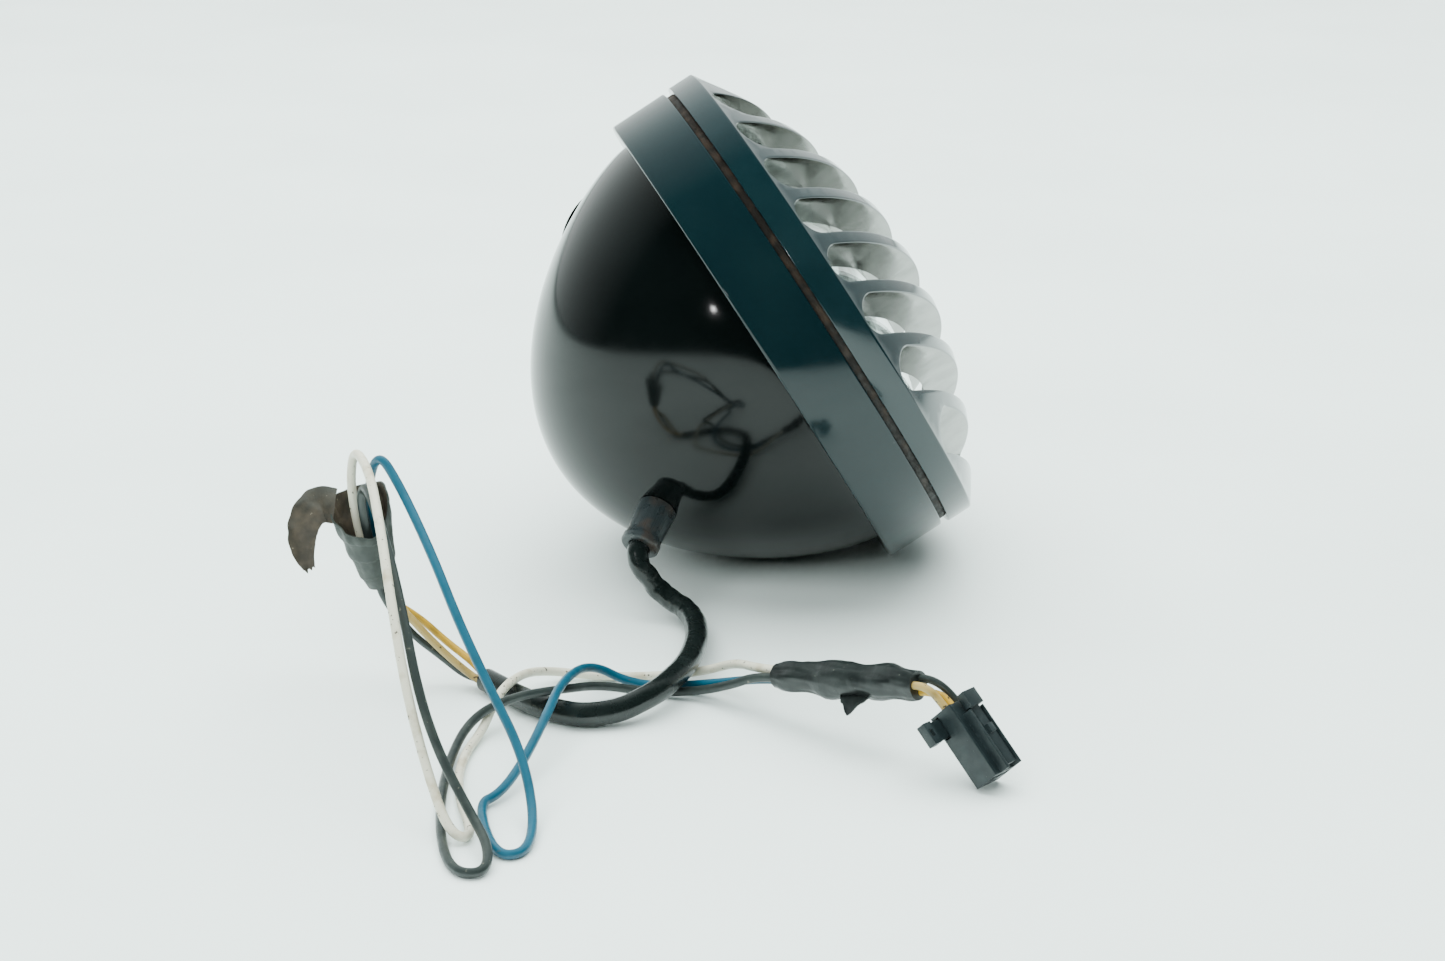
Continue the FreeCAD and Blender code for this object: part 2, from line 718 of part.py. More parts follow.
def cord(label, points, radius, bore=0):
    """Round cord, or a tube when it has a bore, along a route."""
    line = centreLine(label, points)
    direction = points[1] - points[0]
    body = sweepDisc(line, radius, points[0], direction)
    section = math.pi * radius ** 2
    if bore:
        body = body.cut(sweepDisc(line, bore, points[0], direction))
        section -= math.pi * bore ** 2
    expected = section * line.Length
    if abs(body.Volume / expected - 1) > 0.02:
        raise RuntimeError(f"{label} volume {body.Volume:.0f}, expected {expected:.0f}")
    print(label, "length", round(line.Length, 1))
    return inWorld(feature(label, body))


def vectors(rows):
    return [Vector(*row) for row in rows]


grommetWorld = lampPlace.multiply(grommetSpot)


def alongGrommet(distance):
    return grommetWorld.multVec(Vector(0, 0, distance))


sleeveRadius = number("sleeveRadius")
sleeveBore = sleeveRadius - number("sleeveWall")
leadRadius = number("leadRadius")
wireRadius = number("wireRadius")

sleeveRoute = [alongGrommet(8), alongGrommet(19)] + vectors([
    (-39.4, -58.8, 9.5), (-33.0, -63.5, 6.0), (-31.0, -74.0, 5.5), (-34.0, -94.3, 7.5),
    (-40.8, -114.1, 8.5), (-51.6, -128.3, 7.5), (-62.9, -132.6, 4.5), (-73.5, -132.0, 3.6),
    (-83.5, -124.6, 3.6), (-91.0, -113.4, 3.6), (-97.3, -102.1, 3.6)])
cord("cable_sleeve", sleeveRoute, sleeveRadius, sleeveBore)

# Inside the bucket the sleeve runs from the bulb's plug to the grommet.
plugExit = Vector(-number("plugWidth") / 2, 4.0, plugBack.value + 4.0)
innerBend = grommetSpot.multVec(Vector(0, 0, -12))
innerRoute = [plugExit, plugExit + Vector(-8.5, 0, 0), plugExit + Vector(-13.5, -13, 5),
              innerBend + Vector(1, 7.3, 0.4), innerBend, grommetSpot.multVec(Vector(0, 0, -1))]
inner = cord("inner_sleeve", [lampPlace.multVec(item) for item in innerRoute],
             sleeveRadius - 0.05, sleeveBore)

# ------------------------------------------------------- tape splice and its leads

spliceFoot = Vector(-125.4, -91.3, 31.5)
spliceTop = Vector(-130.4, -92.3, 54.5)
spliceRun = (spliceTop - spliceFoot).normalize()
splicePlace = Placement(spliceFoot, Rotation(Vector(0, 0, 1), spliceRun))
spliceFloor = 8.0
mouth = named("spliceMouth")
length = named("spliceLength")
splice = turned("splice_shell", [
    (0, 0, "line"),
    (3.9, 0, "line"),
    (5.2, 4.0, "line"),
    (mouth, length, "line"),
    (mouth - 0.8, length, "line"),
    (5.4, spliceFloor, "line"),
    (0, spliceFloor, "line"),
])
lipCutter = block("lip_cutter", (-30, 30), (-30, 30), (0, 30))
lipCutter.Placement = Placement(Vector(0, 0, length.value - 5), Rotation(Vector(1, 0, 0), 25))
splice = cut("splice_tape", splice, lipCutter)
splice.Placement = splicePlace
inWorld(splice)

tailPoints = vectors([
    (-137.6, -92.4, 56.3), (-141.6, -92.3, 56.9), (-145.2, -93.0, 54.2),
    (-147.0, -95.0, 49.6), (-147.0, -97.5, 44.8), (-145.6, -100.0, 40.6)])
tailFacing = Vector(-0.15, -0.94, 0.3)
tailLine = Part.BSplineCurve()
tailLine.interpolate(tailPoints)
ribbon = []
for point, half in zip(tailPoints, (5.0, 5.2, 4.8, 4.2, 3.2, 1.6)):
    along = tailLine.tangent(tailLine.parameter(point))[0]
    across = along.cross(tailFacing).normalize()
    up = across.cross(along).normalize() * 0.2
    corner = [point + across * half + up, point - across * half + up,
              point - across * half - up, point + across * half - up]
    ribbon.append(Part.makePolygon(corner + [corner[0]]))
inWorld(feature("splice_tail", Part.makeLoft(ribbon, True, True)))

sleeveEnd = sleeveRoute[-1]
sleeveRun = (sleeveRoute[-1] - sleeveRoute[-2]).normalize()
insideOffsets = spread(sleeveRun, 1.42, 3, -90)
spliceOffsets = spread(spliceRun, 1.55, 3, 30)
leadRoutes = {
    "lead_yellow": [
        (-101.1, -96.2, 7.6), (-108.0, -92.0, 12.5), (-114.8, -90.2, 19.5)],
    "lead_black": [
        (-102.5, -96.7, 2.7), (-110.0, -96.4, 10.0), (-117.5, -96.0, 16.7)],
    "lead_tan": [
        (-105.0, -99.6, 7.8), (-110.6, -98.6, 13.6), (-116.8, -97.6, 21.0)],
}
for index, (label, route) in enumerate(leadRoutes.items()):
    inside = insideOffsets[index]
    arrive = spliceOffsets[index]
    points = [sleeveEnd - sleeveRun * 10 + inside, sleeveEnd + sleeveRun * 1.5 + inside]
    points += vectors(route)
    points += [spliceFoot - spliceRun * 4.5 + arrive, spliceFoot + arrive]
    cord(label, points, leadRadius)

# ------------------------------------------------------- long wires

wrapStart = Vector(-18.7, -136.0, 13.0)
wrapEnd = Vector(12.1, -172.9, 23.7)
wrapRun = (wrapEnd - wrapStart).normalize()
mouthOffsets = spread(spliceRun, 2.6, 3, 60)
wrapOffsets = spread(wrapRun, 1.7, 3, 240)
wireRoutes = {
    "wire_white": [
        (-131.9, -92.9, 74.1), (-128.2, -108.6, 72.0), (-127.1, -132.2, 63.0),
        (-126.5, -154.1, 52.0), (-124.6, -171.2, 33.0), (-120.8, -182.2, 15.0),
        (-116.6, -195.8, 2.7), (-110.3, -196.6, 1.7), (-112.3, -168.6, 1.4),
        (-108.7, -147.6, 1.4), (-101.4, -132.3, 2.0), (-96.2, -123.8, 8.8),
        (-88.1, -110.9, 8.8), (-78.1, -97.5, 3.0), (-64.1, -101.0, 1.4),
        (-46.9, -104.0, 1.4), (-33.7, -107.6, 3.6), (-27.0, -117.5, 10.0)],
    "wire_black": [
        (-129.1, -99.0, 66.0), (-125.6, -126.8, 58.0), (-123.5, -154.6, 48.0),
        (-121.6, -171.8, 33.0), (-117.5, -181.3, 19.0), (-110.9, -191.8, 6.8),
        (-107.4, -205.6, 3.4), (-109.8, -216.5, 1.6), (-118.6, -212.4, 1.4),
        (-118.5, -184.3, 1.4), (-113.5, -152.5, 1.4), (-105.0, -131.6, 5.2),
        (-93.0, -129.0, 9.7), (-78.7, -124.6, 8.9), (-65.9, -114.8, 5.0),
        (-52.5, -114.3, 1.4), (-38.7, -119.0, 2.4), (-29.9, -128.4, 8.0)],
    "wire_blue": [
        (-125.5, -99.8, 75.0), (-119.8, -107.2, 66.0), (-113.4, -130.8, 54.0),
        (-108.4, -147.3, 41.0), (-101.8, -161.9, 27.0), (-95.3, -173.9, 14.0),
        (-93.9, -188.8, 2.6), (-98.0, -206.9, 1.4), (-106.5, -206.5, 1.4),
        (-107.5, -176.7, 1.4), (-101.6, -174.6, 2.5), (-94.2, -163.0, 5.0),
        (-85.7, -147.4, 11.0), (-78.5, -126.5, 12.4), (-67.9, -107.8, 9.0),
        (-56.0, -108.6, 1.6), (-42.5, -112.0, 1.4), (-31.0, -122.0, 6.0)],
}
for index, (label, route) in enumerate(wireRoutes.items()):
    leave = splicePlace.multVec(Vector(0, 0, spliceFloor)) + mouthOffsets[index]
    arrive = wrapStart + wrapOffsets[index]
    points = [leave, leave + spliceRun * 18]
    points += vectors(route)
    points += [arrive - wrapRun * 7.0, arrive]
    cord(label, points, wireRadius)

# ------------------------------------------------------- tape wrap near the connector

wrapLength = toSize((wrapEnd - wrapStart).Length)
wrapRadius = named("wrapRadius")
wrap = turned("tape_wrap", [
    (0, 0, "line"),
    (3.6, 0, "line"),
    (wrapRadius - 1.0, 9.0, "line"),
    (wrapRadius, 18.0, "line"),
    (wrapRadius - 0.4, 28.0, "line"),
    (wrapRadius, 37.0, "line"),
    (4.6, wrapLength - 4.0, "line"),
    (4.2, wrapLength, "line"),
    (0, wrapLength, "line"),
])
wrap.Placement = Placement(wrapStart, Rotation(Vector(0, 0, 1), wrapRun))
inWorld(wrap)

# ------------------------------------------------------- connector

shellBack = Vector(19.46, -177.88, 18.6)
shellForward = Vector(0.4305, -0.5966, -0.6772).normalize()
shellSide = shellForward.cross(Vector(0.4781, -0.4856, 0.7318)).normalize()
shellUp = shellSide.cross(shellForward)
shellPlace = Placement(shellBack, Rotation(shellForward, shellUp, shellSide, "ZXY"))


def inShell(item):
    item.Placement = shellPlace.multiply(item.Placement)
    return inWorld(item)


# Local axes: X towards the mating face, Y out of the latch face, Z to the lock's side.
reach = named("plugLength")
halfUp = named("shellHeight") / 2
halfSide = named("shellWidth") / 2
cell = named("cavity") / 2
rise = named("cavityRise")
pitch = named("cavityPitch")
latchMid = -2.0
shellParts = fuse("shell_block", [
    block("shell_body", (0, reach), (-halfUp, halfUp), (-halfSide, halfSide)),
    block("rail_inner", (4.0, reach), (halfUp - 0.2, halfUp + 2.7), (latchMid + 2.6, latchMid + 3.7)),
    block("rail_outer", (4.0, reach), (halfUp - 0.2, halfUp + 2.7), (latchMid - 3.0, latchMid - 2.3)),
    block("shell_rib", (0, reach), (halfUp - 0.2, halfUp + 0.5), (halfSide - 0.9, halfSide)),
])
cavities = [block(f"cell_{index}", (-1, reach + 1), (rise - cell, rise + cell),
                  (pitch * (index - 1) - cell, pitch * (index - 1) + cell))
            for index in range(3)]
lockSlot = block("lock_slot", (0.8, 7.2), (-3.1, -1.3), (-halfSide + 0.7, halfSide + 1))
inShell(cut("connector_housing", shellParts, fuse("shell_openings", cavities + [lockSlot])))

latch = fuse("connector_latch", [
    block("latch_arm", (3.0, 21.4), (halfUp + 1.1, halfUp + 2.2), (latchMid - 1.7, latchMid + 1.9)),
    block("latch_pad", (-1.0, 3.6), (halfUp + 0.95, halfUp + 3.6), (latchMid - 2.6, latchMid + 2.9)),
    block("latch_root", (19.6, 21.4), (halfUp + 0.35, halfUp + 1.3),
          (latchMid - 1.7, latchMid + 1.9)),
    block("latch_barb", (9.5, 12.0), (halfUp + 2.0, halfUp + 3.2), (latchMid - 1.0, latchMid + 1.2)),
])
inShell(latch)

lockWindow = block("lock_window", (3.0, 5.0), (-5.5, 1.0), (halfSide + 5.0, halfSide + 6.4))
lockSolid = fuse("lock_solid", [
    block("lock_blade", (1.2, 6.8), (-2.95, -1.45), (-0.9, halfSide + 4.5)),
    block("lock_head", (0.8, 7.2), (-3.75, -0.9), (halfSide + 4.0, halfSide + 7.2)),
])
inShell(cut("connector_lock", lockSolid, lockWindow))

terminals = fuse("connector_terminals", [
    block(f"terminal_{index}", (5.0, 18.0), (rise - cell, rise + cell),
          (pitch * (index - 1) - cell + 0.15, pitch * (index - 1) + cell - 0.15))
    for index in range(3)])
inShell(terminals)

tailNames = ("pigtail_tan_one", "pigtail_tan_two", "pigtail_black")
pigOffsets = spread(wrapRun, 2.1, 3, 345)
for index, label in enumerate(tailNames):
    side = number("cavityPitch") * (1 - index)
    entry = [shellPlace.multVec(Vector(x, number("cavityRise"), side)) for x in (-2.4, 5.0)]
    leave = wrapEnd + pigOffsets[index]
    cord(label, [leave, leave + wrapRun * 4.0] + entry, leadRadius)

# ------------------------------------------------------- check and write

doc.recompute()
for item in doc.Objects:
    state = set(item.State)
    if "Invalid" in state or "Error" in state:
        raise RuntimeError(f"{item.Name} failed: {item.State}")

low = [1e9] * 3
high = [-1e9] * 3
for item in lampNodes + placedNodes:
    shape = item.Shape
    if shape.isNull() or not shape.isValid() or not shape.Solids:
        raise RuntimeError(f"{item.Label} has no valid solid")
    if item in lampNodes:
        box = shape.optimalBoundingBox(False)
        low = [min(a, b) for a, b in zip(low, (box.XMin, box.YMin, box.ZMin))]
        high = [max(a, b) for a, b in zip(high, (box.XMax, box.YMax, box.ZMax))]
    shape.exportStep(f"parts/{item.Label}.step")
    print(item.Label, "volume", round(shape.Volume, 1), "solids", len(shape.Solids))
print("lamp box", [round(v, 2) for v in low], [round(v, 2) for v in high])
print("nodes", len(lampNodes) + len(placedNodes))
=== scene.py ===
import bmesh
import bpy
import json
import math
from mathutils import Matrix, Vector, geometry, noise


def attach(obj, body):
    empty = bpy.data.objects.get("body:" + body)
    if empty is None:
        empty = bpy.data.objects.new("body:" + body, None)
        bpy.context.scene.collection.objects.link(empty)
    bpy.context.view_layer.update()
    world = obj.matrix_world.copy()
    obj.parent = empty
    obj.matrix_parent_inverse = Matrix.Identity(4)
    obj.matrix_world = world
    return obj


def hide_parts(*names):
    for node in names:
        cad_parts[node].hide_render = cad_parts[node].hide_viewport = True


# Motorcycle headlight: gloss bucket, rim band, finned grille over a lens, and
# a taped wiring harness. Lengths in the dictionaries are millimetres.

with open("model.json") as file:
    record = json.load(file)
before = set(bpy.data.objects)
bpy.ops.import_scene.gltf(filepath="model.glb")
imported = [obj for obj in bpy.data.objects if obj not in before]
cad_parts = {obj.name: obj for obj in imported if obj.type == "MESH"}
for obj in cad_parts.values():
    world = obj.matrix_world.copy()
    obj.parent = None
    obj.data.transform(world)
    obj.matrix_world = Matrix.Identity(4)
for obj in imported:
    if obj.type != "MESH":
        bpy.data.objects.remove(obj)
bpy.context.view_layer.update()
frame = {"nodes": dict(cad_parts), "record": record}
nodes = frame["nodes"]
mm = 0.001

# Camera and lights: the stand point and lens are what to change.
view = {"place": (-161.6, -801.4, 312.1), "azimuth": 10.82, "drop": 19.5, "lens": 65.8}

cameraData = bpy.data.cameras.new("viewCamera")
cameraData.lens = view["lens"]
cameraData.sensor_width = 36
cameraData.clip_start = 0.05
camera = bpy.data.objects.new("viewCamera", cameraData)
camera.location = Vector(view["place"]) * mm
camera.rotation_euler = (
    math.radians(90 - view["drop"]), 0, math.radians(-view["azimuth"]))
bpy.context.scene.collection.objects.link(camera)
bpy.context.scene.camera = camera


# Building helpers.

# A node with its settings (inputs by name or number, else attributes) and links.
def addNode(tree, kind, settings=None, links=None):
    node = tree.nodes.new(kind)
    for key, value in (settings or {}).items():
        if isinstance(key, int) or key in node.inputs:
            node.inputs[key].default_value = value
        else:
            setattr(node, key, value)
    for key, source in (links or {}).items():
        tree.links.new(source, node.inputs[key])
    return node


# Linear colour from an sRGB hex text.
def colour(text):
    channels = [int(text[index:index + 2], 16) / 255 for index in (1, 3, 5)]
    return tuple(
        value / 12.92 if value <= 0.04045 else ((value + 0.055) / 1.055) ** 2.4
        for value in channels) + (1.0,)


# Map a value from low..high to start..end.
def share(tree, source, low, high, start=0.0, end=1.0):
    return addNode(tree, "ShaderNodeMapRange", {
        "From Min": low, "From Max": high, "To Min": start, "To Max": end}, {"Value": source}).outputs[0]


# Noise whose features are about size millimetres across.
def noiseValue(tree, place, size, detail=3.0):
    return addNode(tree, "ShaderNodeTexNoise", {"Scale": 1000 / size, "Detail": detail},
                   {"Vector": place}).outputs["Fac"]


# Colour between two colours or sockets.
def mixed(tree, factor, first, second):
    node = addNode(tree, "ShaderNodeMix", {"data_type": "RGBA"}, {0: factor})
    for socket, value in ((6, first), (7, second)):
        if isinstance(value, tuple):
            node.inputs[socket].default_value = value
        else:
            tree.links.new(value, node.inputs[socket])
    return node.outputs[2]


# General surface: two colours, uneven gloss and a fine relief. specks is
# (colour, size, share) for small dirt spots. Returns the material, its tree,
# its shader node and the place socket.
def finish(name, base, worn, wornSize=9, wornShare=(0.5, 0.75), gloss=(0.3, 0.4),
           bumpSize=1.0, bumpHeight=0.02, metal=0.0, coat=0.0, specks=None):
    material = bpy.data.materials.new(name)
    material.use_nodes = True
    tree = material.node_tree
    shader = tree.nodes["Principled BSDF"]
    place = addNode(tree, "ShaderNodeTexCoord").outputs["Object"]
    worked = noiseValue(tree, place, wornSize, 5)
    tone = mixed(tree, share(tree, worked, *wornShare), colour(base), colour(worn))
    if specks:
        speckColour, size, limit = specks
        spots = noiseValue(tree, place, size, 2)
        tone = mixed(tree, share(tree, spots, limit, limit + 0.04), tone, colour(speckColour))
    tree.links.new(tone, shader.inputs["Base Color"])
    uneven = noiseValue(tree, place, wornSize * 0.6, 4)
    tree.links.new(share(tree, uneven, 0.35, 0.65, *gloss), shader.inputs["Roughness"])
    relief = noiseValue(tree, place, bumpSize, 3)
    bump = addNode(tree, "ShaderNodeBump", {"Strength": 1.0, "Distance": bumpHeight * mm},
                   {"Height": relief})
    tree.links.new(bump.outputs[0], shader.inputs["Normal"])
    shader.inputs["Metallic"].default_value = metal
    shader.inputs["Coat Weight"].default_value = coat
    shader.inputs["Coat Roughness"].default_value = gloss[0] * 0.5
    return material, tree, shader, place


# Object from points in metres, smooth but for edges sharper than sharp degrees.
def buildMesh(name, points, faces, materials, kinds=None, sharp=35):
    mesh = bpy.data.meshes.new(name)
    mesh.from_pydata([tuple(point) for point in points], [], faces)
    for material in materials:
        mesh.materials.append(material)
    if kinds:
        mesh.polygons.foreach_set("material_index", kinds)
    editable = bmesh.new()
    editable.from_mesh(mesh)
    bmesh.ops.remove_doubles(editable, verts=editable.verts, dist=1e-7)
    bmesh.ops.recalc_face_normals(editable, faces=editable.faces)
    editable.to_mesh(mesh)
    editable.free()
    mesh.polygons.foreach_set("use_smooth", [True] * len(mesh.polygons))
    mesh.set_sharp_from_angle(angle=math.radians(sharp))
    made = bpy.data.objects.new(name, mesh)
    bpy.context.scene.collection.objects.link(made)
    return made


# Apply an object's modifiers by converting it to a plain mesh.
def baked(made):
    bpy.context.view_layer.update()
    graph = bpy.context.evaluated_depsgraph_get()
    mesh = bpy.data.meshes.new_from_object(made.evaluated_get(graph))
    made.modifiers.clear()
    made.data = mesh
    return made


# Closed (radius, height) profile with its corners rounded. Each corner is (radius, height, rounding).
def rounded(corners, steps=4):
    points = []
    count = len(corners)
    for index, (radius, height, rounding) in enumerate(corners):
        corner = Vector((radius, height))
        if rounding == 0:
            points.append(corner)
            continue
        back = (Vector(corners[index - 1][:2]) - corner).normalized()
        forth = (Vector(corners[(index + 1) % count][:2]) - corner).normalized()
        half = back.angle(forth) / 2
        middle = corner + (back + forth).normalized() * rounding / math.sin(half)
        start = corner + back * rounding / math.tan(half) - middle
        sweep = start.angle_signed(corner + forth * rounding / math.tan(half) - middle)
        for step in range(steps + 1):
            turned = start.copy()
            turned.rotate(Matrix.Rotation(-sweep * step / steps, 2))
            points.append(middle + turned)
    return [tuple(point) for point in points]


# Closed profile turned about Z, then placed. warp(point) may move local points.
def lathe(name, profile, matrix, materials, segments=288, sharp=35, warp=None):
    points, faces, rows = [], [], []
    for radius, height in profile:
        rows.append(len(points))
        ring = 1 if radius < 1e-6 else segments
        for index in range(ring):
            angle = 2 * math.pi * index / segments
            point = Vector((radius * math.cos(angle), radius * math.sin(angle), height))
            points.append(matrix @ ((warp(point) if warp else point) * mm))
    for row, start in enumerate(rows):
        following = (row + 1) % len(rows)
        polar = profile[row][0] < 1e-6
        nextPolar = profile[following][0] < 1e-6
        for index in range(segments):
            ahead = (index + 1) % segments
            quad = [start if polar else start + index,
                    start if polar else start + ahead,
                    rows[following] if nextPolar else rows[following] + ahead,
                    rows[following] if nextPolar else rows[following] + index]
            unique = list(dict.fromkeys(quad))
            if len(unique) > 2:
                faces.append(unique)
    return buildMesh(name, points, faces, materials, sharp=sharp)


# Cut round holes along Z of each placement, from low to high millimetres.
def drill(made, places, radius, low, high):
    for index, place in enumerate(places):
        ring = rounded([(0, low, 0), (radius, low, 0), (radius, high, 0), (0, high, 0)])
        tool = lathe(f"tool{index}", ring, place, [], 48)
        tool.data.materials.append(made.data.materials[0])
        modifier = made.modifiers.new("cut", "BOOLEAN")
        modifier.operation = "DIFFERENCE"
        modifier.object = tool
        baked(made)
        bpy.data.objects.remove(tool)
    made.data.set_sharp_from_angle(angle=math.radians(35))
    return made


# Copy of a CAD node with its sharp edges rounded, standing for that node.
def softened(node, width, material, slot=None, angle=30):
    mesh = nodes[node].data.copy()
    editable = bmesh.new()
    editable.from_mesh(mesh)
    bmesh.ops.remove_doubles(editable, verts=editable.verts, dist=2e-6)
    bmesh.ops.dissolve_limit(editable, angle_limit=math.radians(1), verts=editable.verts,
                             edges=editable.edges)
    limit = math.radians(angle)
    edges = [edge for edge in editable.edges
             if len(edge.link_faces) == 2 and edge.calc_face_angle(0) > limit]
    bmesh.ops.bevel(editable, geom=edges, offset=width * mm, segments=3, profile=0.5,
                    affect="EDGES", clamp_overlap=True)
    bmesh.ops.recalc_face_normals(editable, faces=editable.faces)
    editable.to_mesh(mesh)
    editable.free()
    mesh.materials.clear()
    mesh.materials.append(material)
    mesh.polygons.foreach_set("use_smooth", [True] * len(mesh.polygons))
    mesh.set_sharp_from_angle(angle=math.radians(30))
    made = bpy.data.objects.new(node + "Look", mesh)
    bpy.context.scene.collection.objects.link(made)
    return stand(made, slot, node)


# The piece rides on its body and stands for CAD nodes.
def stand(made, slot, *replaced, body="lamp"):
    for name, members in frame["record"]["behaviour"]["bodies"].items():
        if replaced and replaced[0] in members:
            body = name
    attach(made, body)
    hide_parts(*replaced)
    return made


def paint(material, *names):
    for name in names:
        mesh = nodes[name].data
        mesh.materials.clear()
        mesh.materials.append(material)


# The lamp's own frame: X to its side, Y to its top, Z forward along its axis.

lamp = {"tilt": 31.44, "roll": 36.58, "place": (0.985, 0, 69.568)}

tilt, roll = math.radians(lamp["tilt"]), math.radians(lamp["roll"])
axisForward = Vector((math.cos(tilt), 0, math.sin(tilt)))
levelUp = Vector((-math.sin(tilt), 0, math.cos(tilt)))
away = Vector((0, 1, 0))
lampUp = levelUp * math.cos(roll) + away * math.sin(roll)
lampSide = away * math.cos(roll) - levelUp * math.sin(roll)
lampMatrix = Matrix((lampSide, lampUp, axisForward)).transposed().to_4x4()
lampMatrix.translation = Vector(lamp["place"]) * mm

# Cords, first in their material.

# Black PVC sleeving, wrinkled and glossy: broken highlights along a limp tube.
sleeveBlack, *_ = finish("plasticisedPvcSleeveExtruded", "#0f1514", "#1a201f", 9, (0.5, 0.8),
                         (0.2, 0.32), 6, 0.06)
# Thin-wall PVC insulation, aged: a waxy sheen with handling dirt.
wireFinish = {
    "white": ("#cfcab8", "#a39374", (0.52, 0.8), ("#4a4238", 1.3, 0.66)),
    "blue": ("#0e4c61", "#0c4152", (0.5, 0.8), ("#2f4650", 1.6, 0.7)),
    "black": ("#262c2b", "#363b38", (0.5, 0.8), ("#57574e", 1.5, 0.7)),
    "yellow": ("#c0962c", "#8d6f26", (0.5, 0.8), ("#3a3222", 1.4, 0.68)),
    "tan": ("#a38a50", "#776138", (0.5, 0.8), ("#3a3024", 1.4, 0.66)),
}
wirePaint = {
    key: finish(f"pvcInsulationExtruded{key.capitalize()}", base, worn, 5, spread,
                (0.3, 0.48), 1.2, 0.03, specks=specks)[0]
    for key, (base, worn, spread, specks) in wireFinish.items()}

# Each route repeats its CAD cord's corner points; widths are diameters.
harness = {"sleeve": 7.0, "lead": 2.2, "wire": 2.6, "splice": (-125.4, -91.3, 31.5),
           "spliceTop": (-130.4, -92.3, 54.5), "wrap": (-18.7, -136.0, 13.0),
           "wrapEnd": (12.1, -172.9, 23.7)}

spliceFoot, spliceTop = Vector(harness["splice"]), Vector(harness["spliceTop"])
spliceRun = (spliceTop - spliceFoot).normalized()
wrapStart, wrapEnd = Vector(harness["wrap"]), Vector(harness["wrapEnd"])
wrapRun = (wrapEnd - wrapStart).normalized()


# Three offsets set evenly round a centre line.
def spread(direction, distance, turn):
    helper = Vector((0, 0, 1)) if abs(direction.z) < 0.9 else Vector((1, 0, 0))
    first = direction.cross(helper).normalized()
    second = direction.cross(first)
    return [first * distance * math.cos(math.radians(turn + 120 * index))
            + second * distance * math.sin(math.radians(turn + 120 * index))
            for index in range(3)]


def vectors(rows):
    return [Vector(row) for row in rows]


# Radius and height of the bucket's skin at an angle from its rim.
def bucketPoint(latitude, wall=0.0):
    theta = math.radians(latitude)
    return ((74.5 - wall) * math.cos(theta) ** 1.006, -(74.1 - wall) * math.sin(theta) ** 1.42)


# Placement on the bucket's skin with Z along its outward normal.
def skinMatrix(latitude, angle):
    before, after = bucketPoint(latitude - 0.05), bucketPoint(latitude + 0.05)
    along = Vector((after[0] - before[0], after[1] - before[1])).normalized()
    radius, height = bucketPoint(latitude)
    turn = math.radians(angle)
    outward = Vector((-along.y * math.cos(turn), -along.y * math.sin(turn), along.x))
    local = Vector((0, 0, 1)).rotation_difference(outward).to_matrix().to_4x4()
    local.translation = Vector((radius * math.cos(turn), radius * math.sin(turn), height)) * mm
    return lampMatrix @ local


grommetMatrix = skinMatrix(52, -126.9)
mountMatrix = skinMatrix(27.7, 90)
sleeveRoute = [grommetMatrix @ Vector((0, 0, reach * mm)) / mm for reach in (8, 19)] + vectors([
    (-39.4, -58.8, 9.5), (-33.0, -63.5, 6.0), (-31.0, -74.0, 5.5), (-34.0, -94.3, 7.5),
    (-40.8, -114.1, 8.5), (-51.6, -128.3, 7.5), (-62.9, -132.6, 4.5), (-73.5, -132.0, 3.6),
    (-83.5, -124.6, 3.6), (-91.0, -113.4, 3.6), (-97.3, -102.1, 3.6)])

